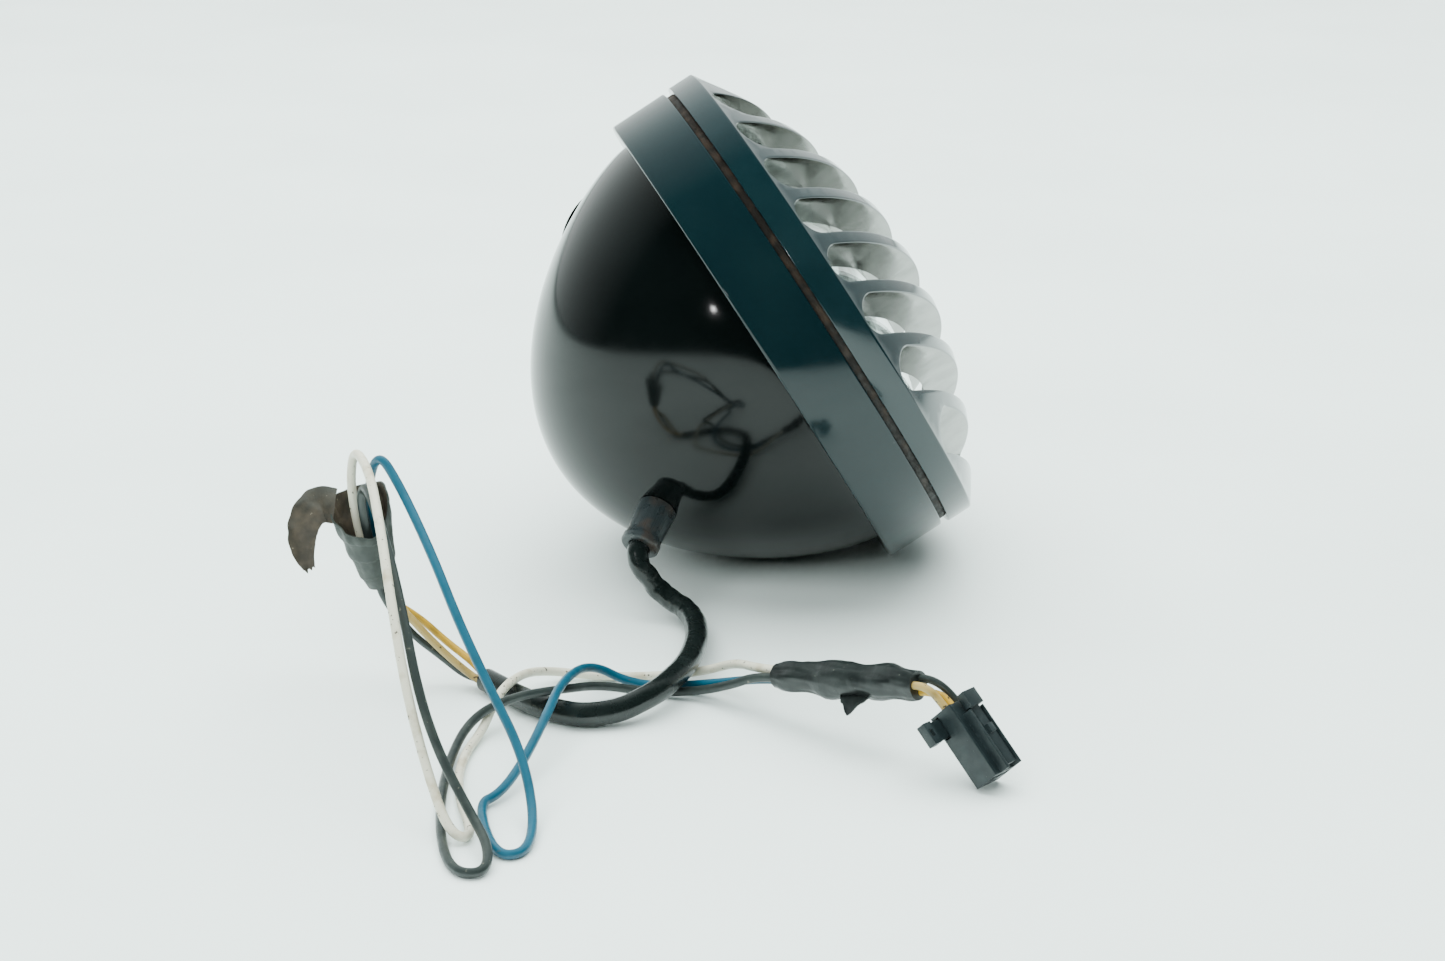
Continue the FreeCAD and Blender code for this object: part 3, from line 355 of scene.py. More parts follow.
sleeveEnd = sleeveRoute[-1]
sleeveRun = (sleeveRoute[-1] - sleeveRoute[-2]).normalized()
leadRoutes = {
    "lead_yellow": [
        (-101.1, -96.2, 7.6), (-108.0, -92.0, 12.5), (-114.8, -90.2, 19.5)],
    "lead_black": [
        (-102.5, -96.7, 2.7), (-110.0, -96.4, 10.0), (-117.5, -96.0, 16.7)],
    "lead_tan": [
        (-105.0, -99.6, 7.8), (-110.6, -98.6, 13.6), (-116.8, -97.6, 21.0)],
}
wireRoutes = {
    "wire_white": [
        (-131.9, -92.9, 74.1), (-128.2, -108.6, 72.0), (-127.1, -132.2, 63.0),
        (-126.5, -154.1, 52.0), (-124.6, -171.2, 33.0), (-120.8, -182.2, 15.0),
        (-116.6, -195.8, 2.7), (-110.3, -196.6, 1.7), (-112.3, -168.6, 1.4),
        (-108.7, -147.6, 1.4), (-101.4, -132.3, 2.0), (-96.2, -123.8, 8.8),
        (-88.1, -110.9, 8.8), (-78.1, -97.5, 3.0), (-64.1, -101.0, 1.4),
        (-46.9, -104.0, 1.4), (-33.7, -107.6, 3.6), (-27.0, -117.5, 10.0)],
    "wire_black": [
        (-129.1, -99.0, 66.0), (-125.6, -126.8, 58.0), (-123.5, -154.6, 48.0),
        (-121.6, -171.8, 33.0), (-117.5, -181.3, 19.0), (-110.9, -191.8, 6.8),
        (-107.4, -205.6, 3.4), (-109.8, -216.5, 1.6), (-118.6, -212.4, 1.4),
        (-118.5, -184.3, 1.4), (-113.5, -152.5, 1.4), (-105.0, -131.6, 5.2),
        (-93.0, -129.0, 9.7), (-78.7, -124.6, 8.9), (-65.9, -114.8, 5.0),
        (-52.5, -114.3, 1.4), (-38.7, -119.0, 2.4), (-29.9, -128.4, 8.0)],
    "wire_blue": [
        (-125.5, -99.8, 75.0), (-119.8, -107.2, 66.0), (-113.4, -130.8, 54.0),
        (-108.4, -147.3, 41.0), (-101.8, -161.9, 27.0), (-95.3, -173.9, 14.0),
        (-93.9, -188.8, 2.6), (-98.0, -206.9, 1.4), (-106.5, -206.5, 1.4),
        (-107.5, -176.7, 1.4), (-101.6, -174.6, 2.5), (-94.2, -163.0, 5.0),
        (-85.7, -147.4, 11.0), (-78.5, -126.5, 12.4), (-67.9, -107.8, 9.0),
        (-56.0, -108.6, 1.6), (-42.5, -112.0, 1.4), (-31.0, -122.0, 6.0)],
}

routes = {}
for index, (node, middle) in enumerate(leadRoutes.items()):
    inside = spread(sleeveRun, 1.42, -90)[index]
    arrive = spread(spliceRun, 1.55, 30)[index]
    routes[node] = ([sleeveEnd - sleeveRun * 10 + inside, sleeveEnd + sleeveRun * 1.5 + inside]
                    + vectors(middle)
                    + [spliceFoot - spliceRun * 4.5 + arrive, spliceFoot + arrive])
for index, (node, middle) in enumerate(wireRoutes.items()):
    leave = spliceFoot + spliceRun * 8 + spread(spliceRun, 2.6, 60)[index]
    arrive = wrapStart + spread(wrapRun, 1.7, 240)[index]
    routes[node] = [leave, leave + spliceRun * 18] + vectors(middle) + [
        arrive - wrapRun * 7, arrive]

# The connector's own frame: X to its mating face, Y out of its latch face, Z to its side.
shellForward = Vector((0.4305, -0.5966, -0.6772)).normalized()
shellSide = shellForward.cross(Vector((0.4781, -0.4856, 0.7318))).normalized()
shellUp = shellSide.cross(shellForward)
shellBack = Vector((19.46, -177.88, 18.6))
for index, node in enumerate(("pigtail_tan_one", "pigtail_tan_two", "pigtail_black")):
    leave = wrapEnd + spread(wrapRun, 2.1, 345)[index]
    cells = [shellBack + shellForward * reach + shellUp * 1.2 + shellSide * 3.05 * (1 - index)
             for reach in (-2.4, 5.0)]
    routes[node] = [leave, leave + wrapRun * 4] + cells


# The CAD cord's own line: straight runs joined by tangent arcs, sampled.
def centreLine(points, spacing=0.4):
    line = [points[0]]
    for before, corner, after in zip(points, points[1:], points[2:]):
        back, forth = before - corner, after - corner
        reach = 0.45 * min(back.length, forth.length)
        back.normalize()
        forth.normalize()
        half = back.angle(forth) / 2
        radius = reach * math.tan(half)
        middle = corner + (back + forth).normalized() * math.hypot(radius, reach)
        start, end = corner + back * reach - middle, corner + forth * reach - middle
        count = max(3, int(start.angle(end) * radius / spacing))
        for step in range(count + 1):
            line.append(middle + start.slerp(end, step / count).normalized() * radius)
    line.append(points[-1])
    filled = [line[0]]
    for first, second in zip(line, line[1:]):
        count = max(1, int((second - first).length / spacing))
        filled += [first.lerp(second, step / count) for step in range(1, count + 1)]
    return filled


def lineLength(points):
    return sum((second - first).length for first, second in zip(points, points[1:]))


# One open NURBS spline along a route, given a round section.
def wireCurve(node, width, material):
    curve = bpy.data.curves.new(node + "Line", "CURVE")
    curve.dimensions = "3D"
    spline = curve.splines.new("NURBS")
    points = routes[node]
    spline.points.add(len(points) - 1)
    for slotPoint, point in zip(spline.points, points):
        slotPoint.co = (*(point * mm), 1)
    spline.order_u = 3
    spline.use_endpoint_u = True
    spline.resolution_u = 14
    curve.bevel_depth = width / 2 * mm
    curve.bevel_resolution = 6
    curve.use_fill_caps = True
    curve.materials.append(material)
    made = bpy.data.objects.new(node + "Look", curve)
    bpy.context.scene.collection.objects.link(made)
    return made


cordPaint = {"lead_yellow": "yellow", "lead_black": "black", "lead_tan": "tan",
             "wire_white": "white", "wire_blue": "blue", "wire_black": "black",
             "pigtail_tan_one": "tan", "pigtail_tan_two": "yellow", "pigtail_black": "black"}
slotNames = {"yellow": "yellow_pvc", "black": "black_pvc", "tan": "tan_pvc",
             "white": "white_pvc", "blue": "blue_pvc"}
cords = {}
for node, key in cordPaint.items():
    width = harness["wire"] if node.startswith("wire") else harness["lead"]
    cords[node] = wireCurve(node, width, wirePaint[key])
    stand(cords[node], slotNames[cordPaint[node] if node != "pigtail_tan_two" else "tan"], node)
print("wires laid", len(cords))


# Sleeving: tube along a path with folds in its tight bends.

# Closed tube along a sampled line; radiusAt(along, angle) in millimetres.
def tubeMesh(name, line, radiusAt, materials, around=40):
    lengths = [0.0]
    for first, second in zip(line, line[1:]):
        lengths.append(lengths[-1] + (second - first).length)
    points, faces = [], []
    normal = None
    for index, centre in enumerate(line):
        ahead = line[min(index + 1, len(line) - 1)]
        behind = line[max(index - 1, 0)]
        tangent = (ahead - behind).normalized()
        if normal is None:
            normal = tangent.orthogonal().normalized()
        normal = (normal - tangent * normal.dot(tangent)).normalized()
        side = tangent.cross(normal)
        for step in range(around):
            angle = 2 * math.pi * step / around
            reach = radiusAt(lengths[index], angle)
            point = centre + normal * reach * math.cos(angle) + side * reach * math.sin(angle)
            points.append(point * mm)
    rows = len(line)
    for row in range(rows - 1):
        for step in range(around):
            ahead = (step + 1) % around
            faces.append((row * around + step, row * around + ahead,
                          (row + 1) * around + ahead, (row + 1) * around + step))
    for row, centre in ((0, line[0]), (rows - 1, line[-1])):
        middle = len(points)
        points.append(centre * mm)
        for step in range(around):
            faces.append((row * around + step, row * around + (step + 1) % around, middle))
    return buildMesh(name, points, faces, materials, sharp=50)


# Wrinkles: folds stand this high where the sleeve bends tightest, near the grommet.
sleeveShape = {"fold": 0.42, "foldLength": 2.6, "foldStart": 6.0, "foldEnd": 44.0,
               "waviness": 0.12}

sleeveLine = centreLine(sleeveRoute, 0.45)


def sleeveRadius(along, angle):
    grip = max(0.0, min(1.0, (along - sleeveShape["foldStart"]) / 5,
                        (sleeveShape["foldEnd"] - along) / 12))
    fold = noise.noise(Vector((along / sleeveShape["foldLength"], math.cos(angle) * 0.9,
                               math.sin(angle) * 0.9 + 3)))
    slack = noise.noise(Vector((along / 11, math.cos(angle) * 1.2, math.sin(angle) * 1.2)))
    flat = -0.35 * max(0.0, math.cos(angle * 2 + along / 9)) * grip
    return 3.42 + sleeveShape["fold"] * fold * grip + sleeveShape["waviness"] * slack + flat * 0.6


sleeve = tubeMesh("sleeveLook", sleeveLine, sleeveRadius, [sleeveBlack])
stand(sleeve, "sleeve_pvc", "cable_sleeve")
paint(sleeveBlack, "inner_sleeve")
print("sleeve swept")

# Bucket, band and grille.

# Gloss black enamel on steel: deep mirror with faint swirl haze, orange peel and dust.
bucketPaint, _, bucketShader, _ = finish(
    "blackEnamelSprayedBucket", "#040707", "#080c0c", 30, (0.4, 0.8), (0.07, 0.13), 5.0, 0.0025,
    coat=0.0, specks=("#3a3c3c", 0.9, 0.79))
# The same enamel on turned aluminium, slightly softer; the teal tint in its two colours is a painted
# sheen for the teal reflections on the band.
bandEnamelTealSheen, _, bandShader, _ = finish("blackEnamelTurnedBandPaintedTealSheen", "#07191d", "#0b1e21", 24, (0.4, 0.8),
                       (0.08, 0.16), 3.0, 0.003, coat=0.0, specks=("#4a5252", 0.8, 0.77))
bucketShader.inputs["Specular IOR Level"].default_value = 0.27
bandShader.inputs["Specular IOR Level"].default_value = 0.4
# Moulded rubber: dull brown-black with grime packed along it.
gasketRubber, *_ = finish("rubberMouldedGasket", "#1a1512", "#3a2c22", 4, (0.45, 0.75),
                          (0.55, 0.8), 1.6, 0.25)
# Moulded rubber boot: satin with a scuffed brown lip.
grommetRubber, *_ = finish(
    "mouldedRubberBoot", "#262c2e", "#3a302a", 5, (0.5, 0.75), (0.25, 0.4), 1.5, 0.12)

body = {"rim": 74.5, "depth": 74.1, "wall": 1.5, "skirt": 12.3}
outer = [bucketPoint(90 * step / 110) for step in range(110)] + [(0, -body["depth"])]
inner = [(0, -body["depth"] + body["wall"])] + [
    bucketPoint(90 * step / 30, body["wall"]) for step in range(29, -1, -1)]
bucketProfile = outer + inner + [
    (body["rim"] - body["wall"], body["skirt"]), (body["rim"], body["skirt"])]
bucket = lathe("bucketLook", bucketProfile, lampMatrix, [bucketPaint], 320)
drill(bucket, [grommetMatrix], 5.9, -8, 8)
drill(bucket, [mountMatrix], 9.9, -12, 8)
stand(bucket, "bucket_enamel", "bucket")
print("bucket turned")

band = {"radius": 82.0, "width": 19.45, "bore": 74.6, "flangeBack": 12.4, "flangeFront": 15.0}
bandProfile = rounded([
    (band["bore"], 0, 0.3), (band["radius"], 0, 0.9), (band["radius"], band["width"], 0.45),
    (band["radius"] - 8.6, band["width"], 0.3), (band["radius"] - 8.6, band["flangeFront"], 0.2),
    (64.5, band["flangeFront"], 0.3), (64.5, band["flangeBack"], 0.3),
    (band["bore"], band["flangeBack"], 0.2)])
rimBand = lathe("bandLook", bandProfile, lampMatrix, [bandEnamelTealSheen], 320)
rimHoles = [lampMatrix @ Matrix.Translation(Vector((
    math.cos(math.radians(45 + 90 * index)), math.sin(math.radians(45 + 90 * index)), 0))
    * 77.8 * mm) for index in range(4)]
drill(rimBand, rimHoles, 2.9, -1, 3.3)
stand(rimBand, "ring_enamel", "rim_band")


# Rubber that bulges unevenly between the two rings.
def gasketWarp(point):
    lump = noise.noise(point / 5) * 0.22 + noise.noise(point / 1.6) * 0.08
    out = Vector((point.x, point.y, 0)).normalized()
    return point + out * lump if point.xy.length > 78 else point


gasketProfile = rounded([(73.6, 19.45, 0), (80.4, 19.45, 0.2), (80.4, 21.8, 0.2), (73.6, 21.8, 0)])
gasket = lathe("gasketLook", gasketProfile, lampMatrix, [gasketRubber], 480, warp=gasketWarp)
stand(gasket, "gasket_rubber", "rim_seal")

# Grille: edge is the rounding along every slot.
fins = {"radius": 82.5, "back": 21.8, "shoulder": 30.0, "top": 57.9, "depth": 12.0,
        "bore": 71.0, "count": 9, "thickness": 4.12, "floor": 27.5, "inset": 1.0, "edge": 0.4}

slotReach = fins["radius"] - fins["inset"]
slotPitch = slotReach * 2 / (fins["count"] + 0.75)
slotHalf = (slotPitch - fins["thickness"]) / 2
slotRows = [slotPitch * (index - (fins["count"] - 1) / 2) for index in range(fins["count"])]
slotEnds = [math.sqrt((slotReach - slotHalf) ** 2 - row * row) for row in slotRows]


# Height of a sphere cap through its rim and its top.
def domeHeight(radius, rim, rimHeight, top):
    middle = (top ** 2 - rim ** 2 - rimHeight ** 2) / (2 * (top - rimHeight))
    return middle + math.sqrt((top - middle) ** 2 - radius ** 2)


def upperSkin(radius):
    return domeHeight(min(radius, fins["radius"]), fins["radius"], fins["shoulder"], fins["top"])


def lowerSkin(radius):
    return domeHeight(radius, fins["bore"], fins["back"] + 1.7, fins["top"] - fins["depth"])


# Distance outside the nearest slot's edge; negative inside it.
def slotDistance(x, y):
    return min(math.hypot(max(abs(x) - end, 0), y - row) - slotHalf
               for row, end in zip(slotRows, slotEnds))


# Points round one slot, grown outwards by grow.
def slotLoop(row, end, grow):
    reach = slotHalf + grow
    loop = []
    straight = max(6, int(end * 2 / 2.2))
    for sideSign in (1, -1):
        for step in range(straight):
            loop.append((-sideSign * end + sideSign * 2 * end * step / straight,
                         row + sideSign * reach))
        for step in range(20):
            angle = math.pi / 2 - math.pi * step / 20
            loop.append((sideSign * (end + reach * math.cos(angle)),
                         row + sideSign * reach * math.sin(angle)))
    return loop


floorLow, floorHigh = 40.0, fins["bore"]
while floorHigh - floorLow > 1e-6:
    floorMid = (floorLow + floorHigh) / 2
    if lowerSkin(floorMid) > fins["floor"]:
        floorLow = floorMid
    else:
        floorHigh = floorMid
floorRing = floorLow

flatPoints, flatEdges = [], []


def addLoop(loop):
    start = len(flatPoints)
    flatPoints.extend(Vector(point) for point in loop)
    flatEdges.extend((start + index, start + (index + 1) % len(loop)) for index in range(len(loop)))


edgeSteps = [0.0, 0.12, 0.42, 1.0]
for row, end in zip(slotRows, slotEnds):
    for part in edgeSteps:
        addLoop(slotLoop(row, end, part * fins["edge"]))
for radius in (fins["radius"] - 0.45, fins["bore"], floorRing):
    addLoop([(radius * math.cos(math.radians(1.25 * step)), radius * math.sin(math.radians(1.25 * step)))
             for step in range(288)])
gridStep = 2.4
for column in range(-36, 37):
    for line in range(-36, 37):
        x, y = column * gridStep, line * gridStep
        clear = abs(slotDistance(x, y)) > 0.9
        if clear and math.hypot(x, y) < fins["radius"] - 1.5:
            flatPoints.append(Vector((x, y)))
flatMesh = geometry.delaunay_2d_cdt(flatPoints, flatEdges, [], 0, 1e-4)
flatVerts, flatFaces = flatMesh[0], flatMesh[2]

grillePoints, grilleFaces, grilleKinds, grilleIndex = [], [], [], {}


def grilleVertex(x, y, height):
    key = (round(x, 4), round(y, 4), round(height, 4))
    if key not in grilleIndex:
        grilleIndex[key] = len(grillePoints)
        grillePoints.append(lampMatrix @ (Vector((x, y, height)) * mm))
    return grilleIndex[key]


# Upper skin, dropped where a slot's edge is rounded.
def topHeight(x, y):
    outside = min(max(slotDistance(x, y), 0.0), fins["edge"])
    drop = fins["edge"] - math.sqrt(fins["edge"] ** 2 - (fins["edge"] - outside) ** 2)
    return upperSkin(math.hypot(x, y)) - drop


wallEdges = {}
for face in flatFaces:
    corners = [flatVerts[item] for item in face]
    middle = sum(corners, Vector((0, 0))) / len(corners)
    radius = middle.length
    inSlot = slotDistance(*middle) < 0
    if radius > fins["radius"] - 0.45 + 1e-3:
        continue
    if not inSlot:
        grilleFaces.append([grilleVertex(x, y, topHeight(x, y)) for x, y in corners])
        grilleKinds.append(0)
    else:
        for index, item in enumerate(face):
            ends = (item, face[(index + 1) % len(face)])
            wallEdges.setdefault(frozenset(ends), []).append(ends)
    if inSlot and radius > floorRing:
        grilleFaces.append([grilleVertex(x, y, fins["floor"]) for x, y in corners])
        grilleKinds.append(1)
    if (radius < floorRing and not inSlot) or floorRing < radius < fins["bore"]:
        grilleFaces.append([grilleVertex(x, y, lowerSkin(math.hypot(x, y))) for x, y in corners])
        grilleKinds.append(0)
for ends in (found[0] for found in wallEdges.values() if len(found) == 1):
    first, second = flatVerts[ends[0]], flatVerts[ends[1]]
    tops = [topHeight(*first), topHeight(*second)]
    floors = [max(fins["floor"], lowerSkin(min(point.length, fins["bore"])))
              for point in (first, second)]
    rows = [[grilleVertex(point.x, point.y, top + (low - top) * level / 4)
             for point, top, low in zip((first, second), tops, floors)] for level in range(5)]
    for above, below in zip(rows, rows[1:]):
        grilleFaces.append((above[0], above[1], below[1], below[0]))
        grilleKinds.append(1)
rimRadius = fins["radius"] - 0.45
rimTop = upperSkin(rimRadius)
edgeProfile = [(rimRadius, rimTop)]
edgeProfile += [(fins["radius"] - 0.45 + 0.45 * math.sin(math.radians(angle)),
                 fins["shoulder"] - 0.45 + (0.45 + rimTop - fins["shoulder"])
                 * math.cos(math.radians(angle))) for angle in (25, 50, 75, 90)]
edgeProfile += [(fins["radius"], fins["back"] + 0.4), (fins["radius"] - 0.1, fins["back"] + 0.1),
                (fins["radius"] - 0.4, fins["back"]), (fins["bore"], fins["back"]),
                (fins["bore"], lowerSkin(fins["bore"]))]
for (radius, height), (nextRadius, nextHeight) in zip(edgeProfile, edgeProfile[1:]):
    for step in range(288):
        turns = [math.radians(1.25 * step), math.radians(1.25 * (step + 1))]
        grilleFaces.append([
            grilleVertex(radius * math.cos(turns[0]), radius * math.sin(turns[0]), height),
            grilleVertex(radius * math.cos(turns[1]), radius * math.sin(turns[1]), height),
            grilleVertex(nextRadius * math.cos(turns[1]), nextRadius * math.sin(turns[1]), nextHeight),
            grilleVertex(nextRadius * math.cos(turns[0]), nextRadius * math.sin(turns[0]), nextHeight)])
        grilleKinds.append(0)

# Gloss enamel on the grille's crests: sharp grey reflections along each fin; the teal tint in its two
# colours is a painted sheen for the teal reflections on the grille.
crestEnamelTealSheen, *_ = finish("blackEnamelCastGrillePaintedTealSheen", "#0a1e22", "#102428", 18, (0.4, 0.8),
                        (0.1, 0.17), 2.5, 0.004, coat=0.2, specks=("#596262", 0.8, 0.77))
# Bare milled aluminium on the slots' sides: soft streaked mirror along the cut.
milled, milledTree, milledShader, milledPlace = finish(
    "aluminiumMilledSlotSides", "#7a7b76", "#565751", 14, (0.35, 0.8), (0.12, 0.24), 6, 0.001,
    metal=1.0)
streakPlace = addNode(
    milledTree, "ShaderNodeVectorMath", {"operation": "DOT_PRODUCT", 1: tuple(axisForward)},
    {0: milledPlace}).outputs["Value"]
streaks = addNode(milledTree, "ShaderNodeTexNoise", {
    "noise_dimensions": "1D", "Scale": 1600.0, "Detail": 4.0}, {"W": streakPlace})
milledBump = addNode(milledTree, "ShaderNodeBump", {"Strength": 0.5, "Distance": 0.004 * mm},
                     {"Height": streaks.outputs["Fac"]})
milledTree.links.new(milledBump.outputs[0], milledShader.inputs["Normal"])

grille = buildMesh("grilleLook", grillePoints, grilleFaces, [crestEnamelTealSheen, milled], grilleKinds, 40)
stand(grille, "grille_enamel", "grille")
print("grille built", len(grille.data.polygons))

# Lens, reflector and bulb.

# Clear pressed glass over the reflector: bright with a faint green edge.
lensGlass, _, lensShader, _ = finish(
    "clearGlassPressedLens", "#f4fbf9", "#eef6f4", 20, (0.4, 0.8), (0.0, 0.03), 14, 0.02)
lensShader.inputs["Transmission Weight"].default_value = 1.0
lensShader.inputs["IOR"].default_value = 1.5
# Vacuum-metallised bowl: a clean bright mirror.
mirror, *_ = finish("aluminiumVacuumMetallisedBowl", "#e6e9ea", "#dcdfe0", 25, (0.4, 0.8),
                    (0.02, 0.05), 18, 0.02, metal=1.0)
# Zinc-plated and spring steel: grey with a soft directional sheen.
steel, *_ = finish("steelZincPlated", "#8f9190", "#6c6d69", 4, (0.45, 0.75), (0.28, 0.42),
                   1.0, 0.01, metal=1.0)
# Stamped brass: dull yellow from handling.
brass, *_ = finish("brassStamped", "#a88a4a", "#6f5a35", 3, (0.4, 0.8), (0.28, 0.42), 0.8, 0.01,
                   metal=1.0)
# Moulded nylon: black with a fine matt grain.
nylon, *_ = finish("nylonMouldedBlack", "#121313", "#1b1c1c", 5, (0.4, 0.8), (0.4, 0.55), 0.5, 0.02)
paint(lensGlass, "lens", "bulb_glass")
paint(mirror, "reflector")
paint(steel, "bulb_base", "bulb_clip")
paint(gasketRubber, "lens_seal")
paint(brass, "bulb_terminals", "connector_terminals")
paint(nylon, "bulb_socket")
softened("rim_screws", 0.2, steel, "screw_steel")
softened("bucket_screws", 0.2, steel, "screw_steel")
softened("mount_boss", 0.35, bucketPaint, "bucket_enamel")
softened("cord_grommet", 0.5, grommetRubber, "grommet_rubber")
print("lens and fittings painted")

# Tape cone over the splice.

# Adhesive cloth tape, outside: grey-green cloth with a fine weave and lint.
clothTape, *_ = finish(
    "clothTapeWovenOutside", "#2b302d", "#3f4440", 5, (0.4, 0.75), (0.5, 0.7), 0.6, 0.06,
    specks=("#777a70", 0.7, 0.74))
# The same tape's sticky side: brown and slightly shiny.
tapeGlue, *_ = finish("clothTapeAdhesiveSide", "#35312b", "#4f463c", 4, (0.4, 0.75),
                      (0.35, 0.5), 1.6, 0.12, specks=("#8a8172", 0.8, 0.72))
cone = {"foot": 3.9, "swell": 5.2, "swellAt": 4.0, "mouth": 9.6, "length": 29.0, "skin": 0.5,
        "turns": 3.2, "crumple": 0.8}


def turnMatrix(origin, direction):
    local = Vector((0, 0, 1)).rotation_difference(direction).to_matrix().to_4x4()
    local.translation = origin * mm
    return local


spliceMatrix = turnMatrix(spliceFoot, spliceRun)


def coneRadius(height):
    if height < cone["swellAt"]:
        return cone["foot"] + (cone["swell"] - cone["foot"]) * height / cone["swellAt"]
    part = (height - cone["swellAt"]) / (cone["length"] - cone["swellAt"])
    return cone["swell"] + (cone["mouth"] - cone["swell"]) * part


# A point of the crumpled cone; level 0 at the foot and 1 at the mouth.
def conePoint(level, angle, inset):
    ragged = 1.7 * math.sin(angle * 2 + 0.6) + 1.1 * noise.noise(
        Vector((math.cos(angle) * 2.1, math.sin(angle) * 2.1, 0.4)))
    lip = 24.0 + 4.2 * math.sin(angle) + 3.5 * max(0.0, math.cos(angle - 2.6)) ** 3
    height = level * (lip - 1.0 + 0.8 * ragged * level)
    overlap = (level * cone["turns"] - angle / (2 * math.pi)) % 1.0
    crease = noise.noise(Vector((math.cos(angle) * 1.3, math.sin(angle) * 1.3, height / 5)))
    fold = noise.noise(Vector((math.cos(angle) * 3.4, math.sin(angle) * 3.4, height / 9 + 7)))
    radius = coneRadius(min(height, cone["length"])) + cone["crumple"] * level * (crease + 0.7 * fold)
    radius += 0.28 * (1 - overlap) - inset
    squeeze = 1 - 0.16 * level * math.cos(2 * angle + 1.1)
    return spliceMatrix @ (Vector((radius * squeeze * math.cos(angle),
                                   radius * squeeze * math.sin(angle), height)) * mm)


conePoints, coneFaces, coneKinds = [], [], []
around, levels = 150, 60
outerLevels = [step / levels for step in range(levels + 1)]
innerLevels = [1 - 0.66 * step / 30 for step in range(31)]
rows = [(level, 0.0) for level in outerLevels] + [(level, cone["skin"]) for level in innerLevels]
for level, inset in rows:
    for step in range(around):
        conePoints.append(conePoint(level, 2 * math.pi * step / around, inset))
for row in range(len(rows) - 1):
    for step in range(around):
        ahead = (step + 1) % around
        coneFaces.append((row * around + step, row * around + ahead,
                          (row + 1) * around + ahead, (row + 1) * around + step))
        coneKinds.append(1 if row > levels else 0)
for row, level in ((0, 0.0), (len(rows) - 1, 0.34)):
    ring = conePoints[row * around:(row + 1) * around]
    middle = len(conePoints)
    conePoints.append(sum(ring, Vector()) / around)
    for step in range(around):
        coneFaces.append((row * around + step, row * around + (step + 1) % around, middle))
        coneKinds.append(0)
spliceCone = buildMesh("spliceTapeLook", conePoints, coneFaces, [clothTape, tapeGlue], coneKinds, 60)
stand(spliceCone, "cloth_tape", "splice_tape")

# Curled tail of the same tape.
tail = {"thick": 0.5, "halfWidth": [5.0, 5.2, 4.8, 4.2, 3.2, 1.6]}
tailFacing = Vector((-0.15, -0.94, 0.3))
tailKnots = vectors([
    (-137.6, -92.4, 56.3), (-141.6, -92.3, 56.9), (-145.2, -93.0, 54.2),
    (-147.0, -95.0, 49.6), (-147.0, -97.5, 44.8), (-145.6, -100.0, 40.6)])


# Catmull-Rom point through knots, numbers or vectors.
def smoothAlong(knots, position):
    index = min(int(position), len(knots) - 2)
    part = position - index
    before = knots[max(index - 1, 0)]
    start, end = knots[index], knots[index + 1]
    after = knots[min(index + 2, len(knots) - 1)]
    return (start * 2 + (end - before) * part + (before * 2 - start * 5 + end * 4 - after) * part ** 2
            + (start * 3 - before - end * 3 + after) * part ** 3) * 0.5


ribbonRows, ribbonColumns = 70, 16
tailSheet = []
for row in range(ribbonRows + 1):
    position = (len(tailKnots) - 1) * row / ribbonRows
    centre = smoothAlong(tailKnots, position)
    along = (smoothAlong(tailKnots, min(position + 0.02, 5)) - smoothAlong(
        tailKnots, max(position - 0.02, 0))).normalized()
    across = along.cross(tailFacing).normalized()
    normal = across.cross(along).normalized()
    half = smoothAlong([float(value) for value in tail["halfWidth"]], position)
    sheetRow = []
    for column in range(ribbonColumns + 1):
        side = column / ribbonColumns * 2 - 1
        ragged = 1 + 0.07 * noise.noise(Vector((row / 5, side * 3, 2)))
        cup = 0.9 * side * side
        ripple = 0.45 * noise.noise(Vector((row / 9, side * 1.7, 9)))
        reach = along * (1.6 * noise.noise(Vector((side * 2.4, 4, 1))) if row == ribbonRows else 0)
        sheetRow.append((centre + across * half * side * ragged
                         + normal * (cup + ripple) + reach, normal))
    tailSheet.append(sheetRow)


# Closed thin ribbon from a grid of (point, normal); the far side takes the second material.
def sheetMesh(name, sheet, thick, materials):
    columns = len(sheet[0])
    points, faces, kinds = [], [], []
    for sideSign in (1, -1):
        for sheetRow in sheet:
            points += [(point + normal * thick / 2 * sideSign) * mm for point, normal in sheetRow]
    layer = len(sheet) * columns
    for row in range(len(sheet) - 1):
        for column in range(columns - 1):
            quad = (row * columns + column, row * columns + column + 1,
                    (row + 1) * columns + column + 1, (row + 1) * columns + column)
            faces += [quad, tuple(layer + item for item in reversed(quad))]
            kinds += [0, 1]
    border = [column for column in range(columns)]
    border += [row * columns + columns - 1 for row in range(1, len(sheet))]
    border += [(len(sheet) - 1) * columns + column for column in range(columns - 2, -1, -1)]
    border += [row * columns for row in range(len(sheet) - 2, 0, -1)]
    for first, second in zip(border, border[1:] + border[:1]):
        faces.append((first, second, layer + second, layer + first))
        kinds.append(0)
    return buildMesh(name, points, faces, materials, kinds, 60)


tailLook = sheetMesh("spliceTailLook", tailSheet, tail["thick"], [tapeGlue, clothTape])
stand(tailLook, "cloth_tape", "splice_tail")
print("tape cone wound")

# Tape wrap before the connector.

# Vinyl tape wound by hand: satin black with stretched ridges and dust.
wrapVinyl, *_ = finish("vinylTapeHandWound", "#101414", "#202524", 6, (0.4, 0.75), (0.3, 0.5),
                       1.8, 0.1, specks=("#5c5f57", 0.9, 0.74))
wrapShape = {"turn": 15.0, "ridge": 0.14, "lump": 1.5, "around": 96,
             "radii": [(0, 3.5), (5, 3.9), (9, 4.2), (18, 5.0), (28, 4.7), (37, 5.1),
                       (45, 4.4), (49, 4.1)]}
wrapLength = (wrapEnd - wrapStart).length


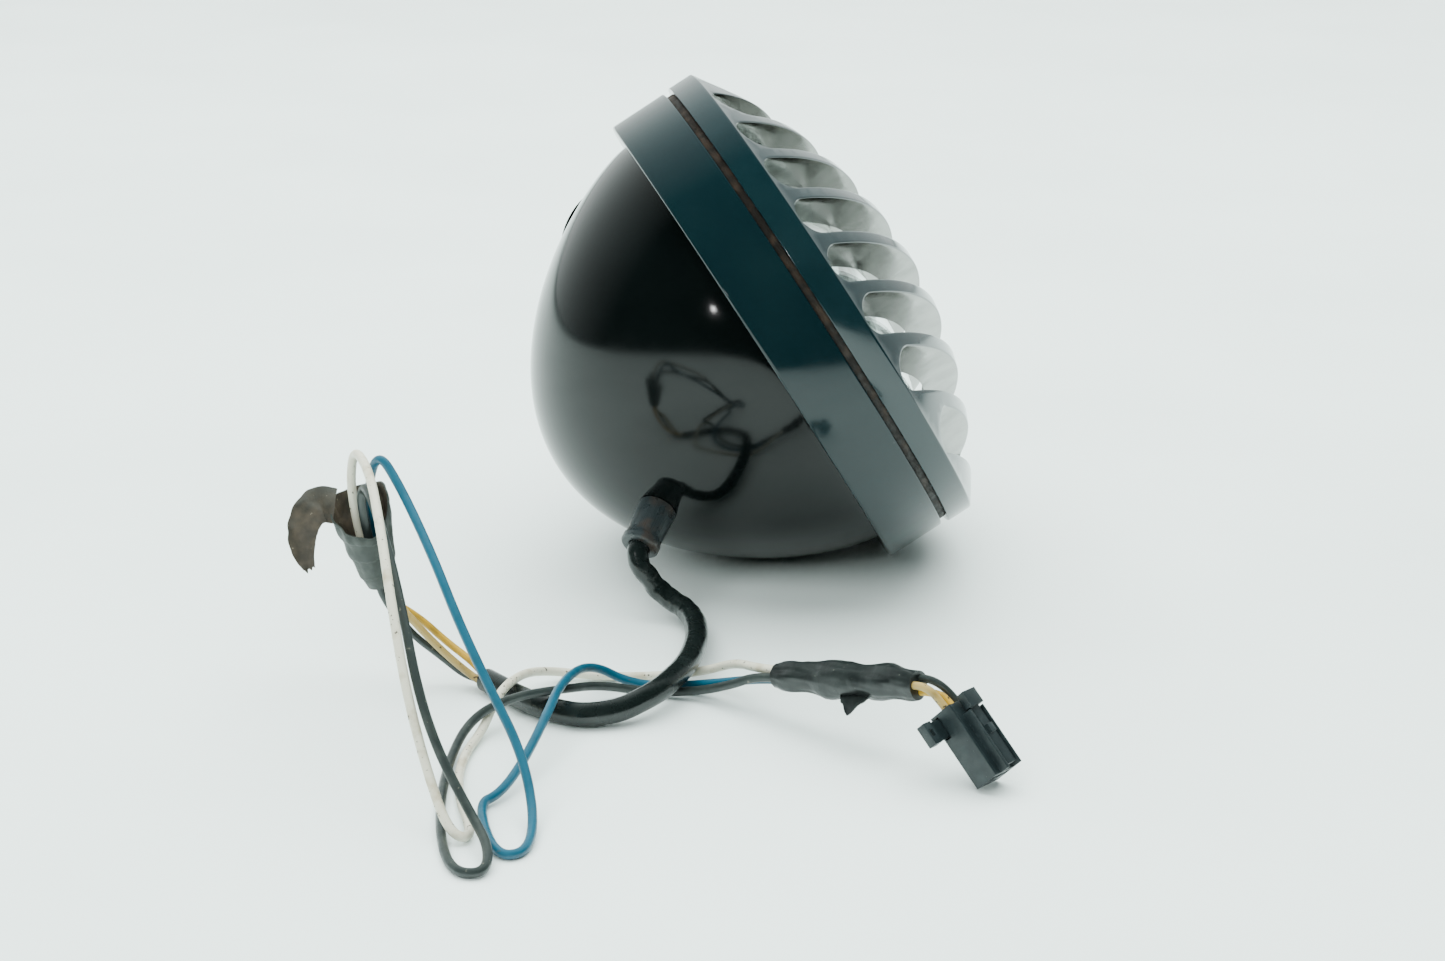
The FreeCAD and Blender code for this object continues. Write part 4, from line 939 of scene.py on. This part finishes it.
def wrapRadius(along, angle):
    for (low, lowRadius), (high, highRadius) in zip(wrapShape["radii"], wrapShape["radii"][1:]):
        if along <= high:
            break
    part = max(0.0, min(1.0, (along - low) / (high - low)))
    radius = lowRadius + (highRadius - lowRadius) * part
    overlap = (along / wrapShape["turn"] - angle / (2 * math.pi)) % 1.0
    ridge = wrapShape["ridge"] * min(1.0, overlap * 9) * (1 - overlap)
    lobes = 0.22 * math.cos(3 * angle + along / 14)
    lump = noise.noise(Vector((along / 10, math.cos(angle) * 0.9, math.sin(angle) * 0.9)))
    crease = noise.noise(Vector((along / 10, math.cos(angle - along / 40) * 2.6,
                                 math.sin(angle - along / 40) * 2.6)))
    edge = min(1.0, along / 3, (wrapLength - along) / 3)
    relief = (lobes + wrapShape["lump"] * lump + 0.55 * crease) * (0.3 + 0.7 * edge) * 0.8
    return radius + relief + ridge - 0.2


wrapLine = [wrapStart.lerp(wrapEnd, step / 150) for step in range(151)]
wrapLook = tubeMesh("tapeWrapLook", wrapLine, wrapRadius, [wrapVinyl], wrapShape["around"])
stand(wrapLook, "wrap_tape", "tape_wrap")

# Torn end of the winding that hangs from its underside.
flap = {"at": 0.6, "length": 9.0, "width": 17.0}
flapSheet = []
flapRoot = wrapStart.lerp(wrapEnd, flap["at"])
flapHang = Vector((-0.55, -0.6, -0.75))
flapDown = (flapHang - wrapRun * wrapRun.dot(flapHang)).normalized()
flapNormal = wrapRun.cross(flapDown).normalized()
for row in range(19):
    drop = row / 18
    sheetRow = []
    for column in range(25):
        side = column / 24 * 2 - 1
        jag = 0.95 + 0.25 * noise.noise(Vector((side * 2.6, 5, 3))) - 0.85 * abs(side - 0.1)
        reach = 2.9 + flap["length"] * drop * max(0.12, jag)
        wave = 0.8 * drop * noise.noise(Vector((side * 1.9, drop * 2, 7)))
        sheetRow.append((flapRoot + wrapRun * side * flap["width"] / 2 * (1 - 0.3 * drop)
                         + flapDown * reach + flapNormal * (wave - 1.1 * drop * drop), flapNormal))
    flapSheet.append(sheetRow)
flapLook = sheetMesh("wrapFlapLook", flapSheet, 0.35, [wrapVinyl, wrapVinyl])
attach(flapLook, "lamp")
print("tape wrap wound")

# Connector.

# Glass-filled nylon: dark slate, matt, pale along scuffs.
slate, *_ = finish("nylonGlassFilledMoulded", "#182022", "#252e30", 4, (0.45, 0.8), (0.38, 0.55),
                   0.7, 0.03, specks=("#6a7072", 0.7, 0.75))
for node in ("connector_housing", "connector_latch", "connector_lock"):
    softened(node, 0.18, slate, "connector_plastic")

# Cords with their far ends and the pieces there; each route's length is worked out and not kept.

declared = {
    "wire_white": ("connector", [wrapLook, flapLook, nodes["connector_terminals"]]),
    "wire_blue": ("connector", [nodes["connector_terminals"]]),
    "wire_black": ("connector", [nodes["connector_terminals"]]),
    "lead_yellow": ("fitting", [spliceCone, tailLook]),
    "lead_black": ("fitting", [spliceCone]),
    "lead_tan": ("fitting", [spliceCone]),
}
for node, (farEnd, pieces) in declared.items():
    width = harness["wire"] if node.startswith("wire") else harness["lead"]
    lineLength(centreLine(routes[node])) * mm

# Floor, backdrop and light.

studio = {"floor": 4.0, "key": 185.0, "fill": 8.0, "front": 40.0, "spark": 0.8, "sky": 1.6}

# Matt white board: pale with a faint cool tint.
board, *_ = finish("boardPaintedWhite", "#eef6f4", "#e6efed", 160, (0.4, 0.8), (0.55, 0.7), 3, 0.02)
wallX = studio["floor"]
floor = buildMesh("floorBoard", [(-wallX, -wallX, 0), (wallX, -wallX, 0), (wallX, wallX, 0),
                                 (-wallX, wallX, 0)], [(0, 1, 2, 3)], [board])


def addLight(name, place, aim, width, depth, power, tint="#ffffff", mirrored=False):
    data = bpy.data.lights.new(name, "AREA")
    data.shape = "RECTANGLE"
    data.size = width
    data.size_y = depth
    data.energy = power
    data.color = colour(tint)[:3]
    made = bpy.data.objects.new(name, data)
    made.location = place
    made.rotation_euler = (Vector(aim) - Vector(place)).to_track_quat("-Z", "Y").to_euler()
    made.visible_glossy = mirrored
    bpy.context.scene.collection.objects.link(made)
    return made


addLight("keyLight", (0.1, 0.5, 1.7), (0, 0, 0.05), 3.2, 2.6, studio["key"], "#f0fbf8")
addLight("leftLight", (-1.6, 0.5, 0.7), (0, 0, 0.1), 1.0, 1.2, studio["fill"], "#f0fbf8")
addLight("frontLight", (-0.8, -1.3, 1.3), (0, 0, 0.03), 1.8, 1.2, studio["front"], "#f0fbf8")
addLight("sparkLight", (-0.9, -0.86, 0.5), (-0.03, -0.06, 0.1), 0.045, 0.045, studio["spark"],
         mirrored=True)

world = bpy.data.worlds.new("studioWorld")
bpy.context.scene.world = world
world.use_nodes = True
worldTree = world.node_tree
skyPlace = addNode(worldTree, "ShaderNodeTexCoord").outputs["Generated"]
backward = addNode(worldTree, "ShaderNodeVectorMath", {"operation": "DOT_PRODUCT", 1: (0.1, 1.0, 0.0)},
                   {0: skyPlace}).outputs["Value"]
skyTone = mixed(worldTree, share(worldTree, backward, 0.0, 0.9), colour("#26302f"), colour("#effbf8"))
backing = worldTree.nodes["Background"]
worldTree.links.new(skyTone, backing.inputs["Color"])
backing.inputs["Strength"].default_value = studio["sky"]
print("studio lit")
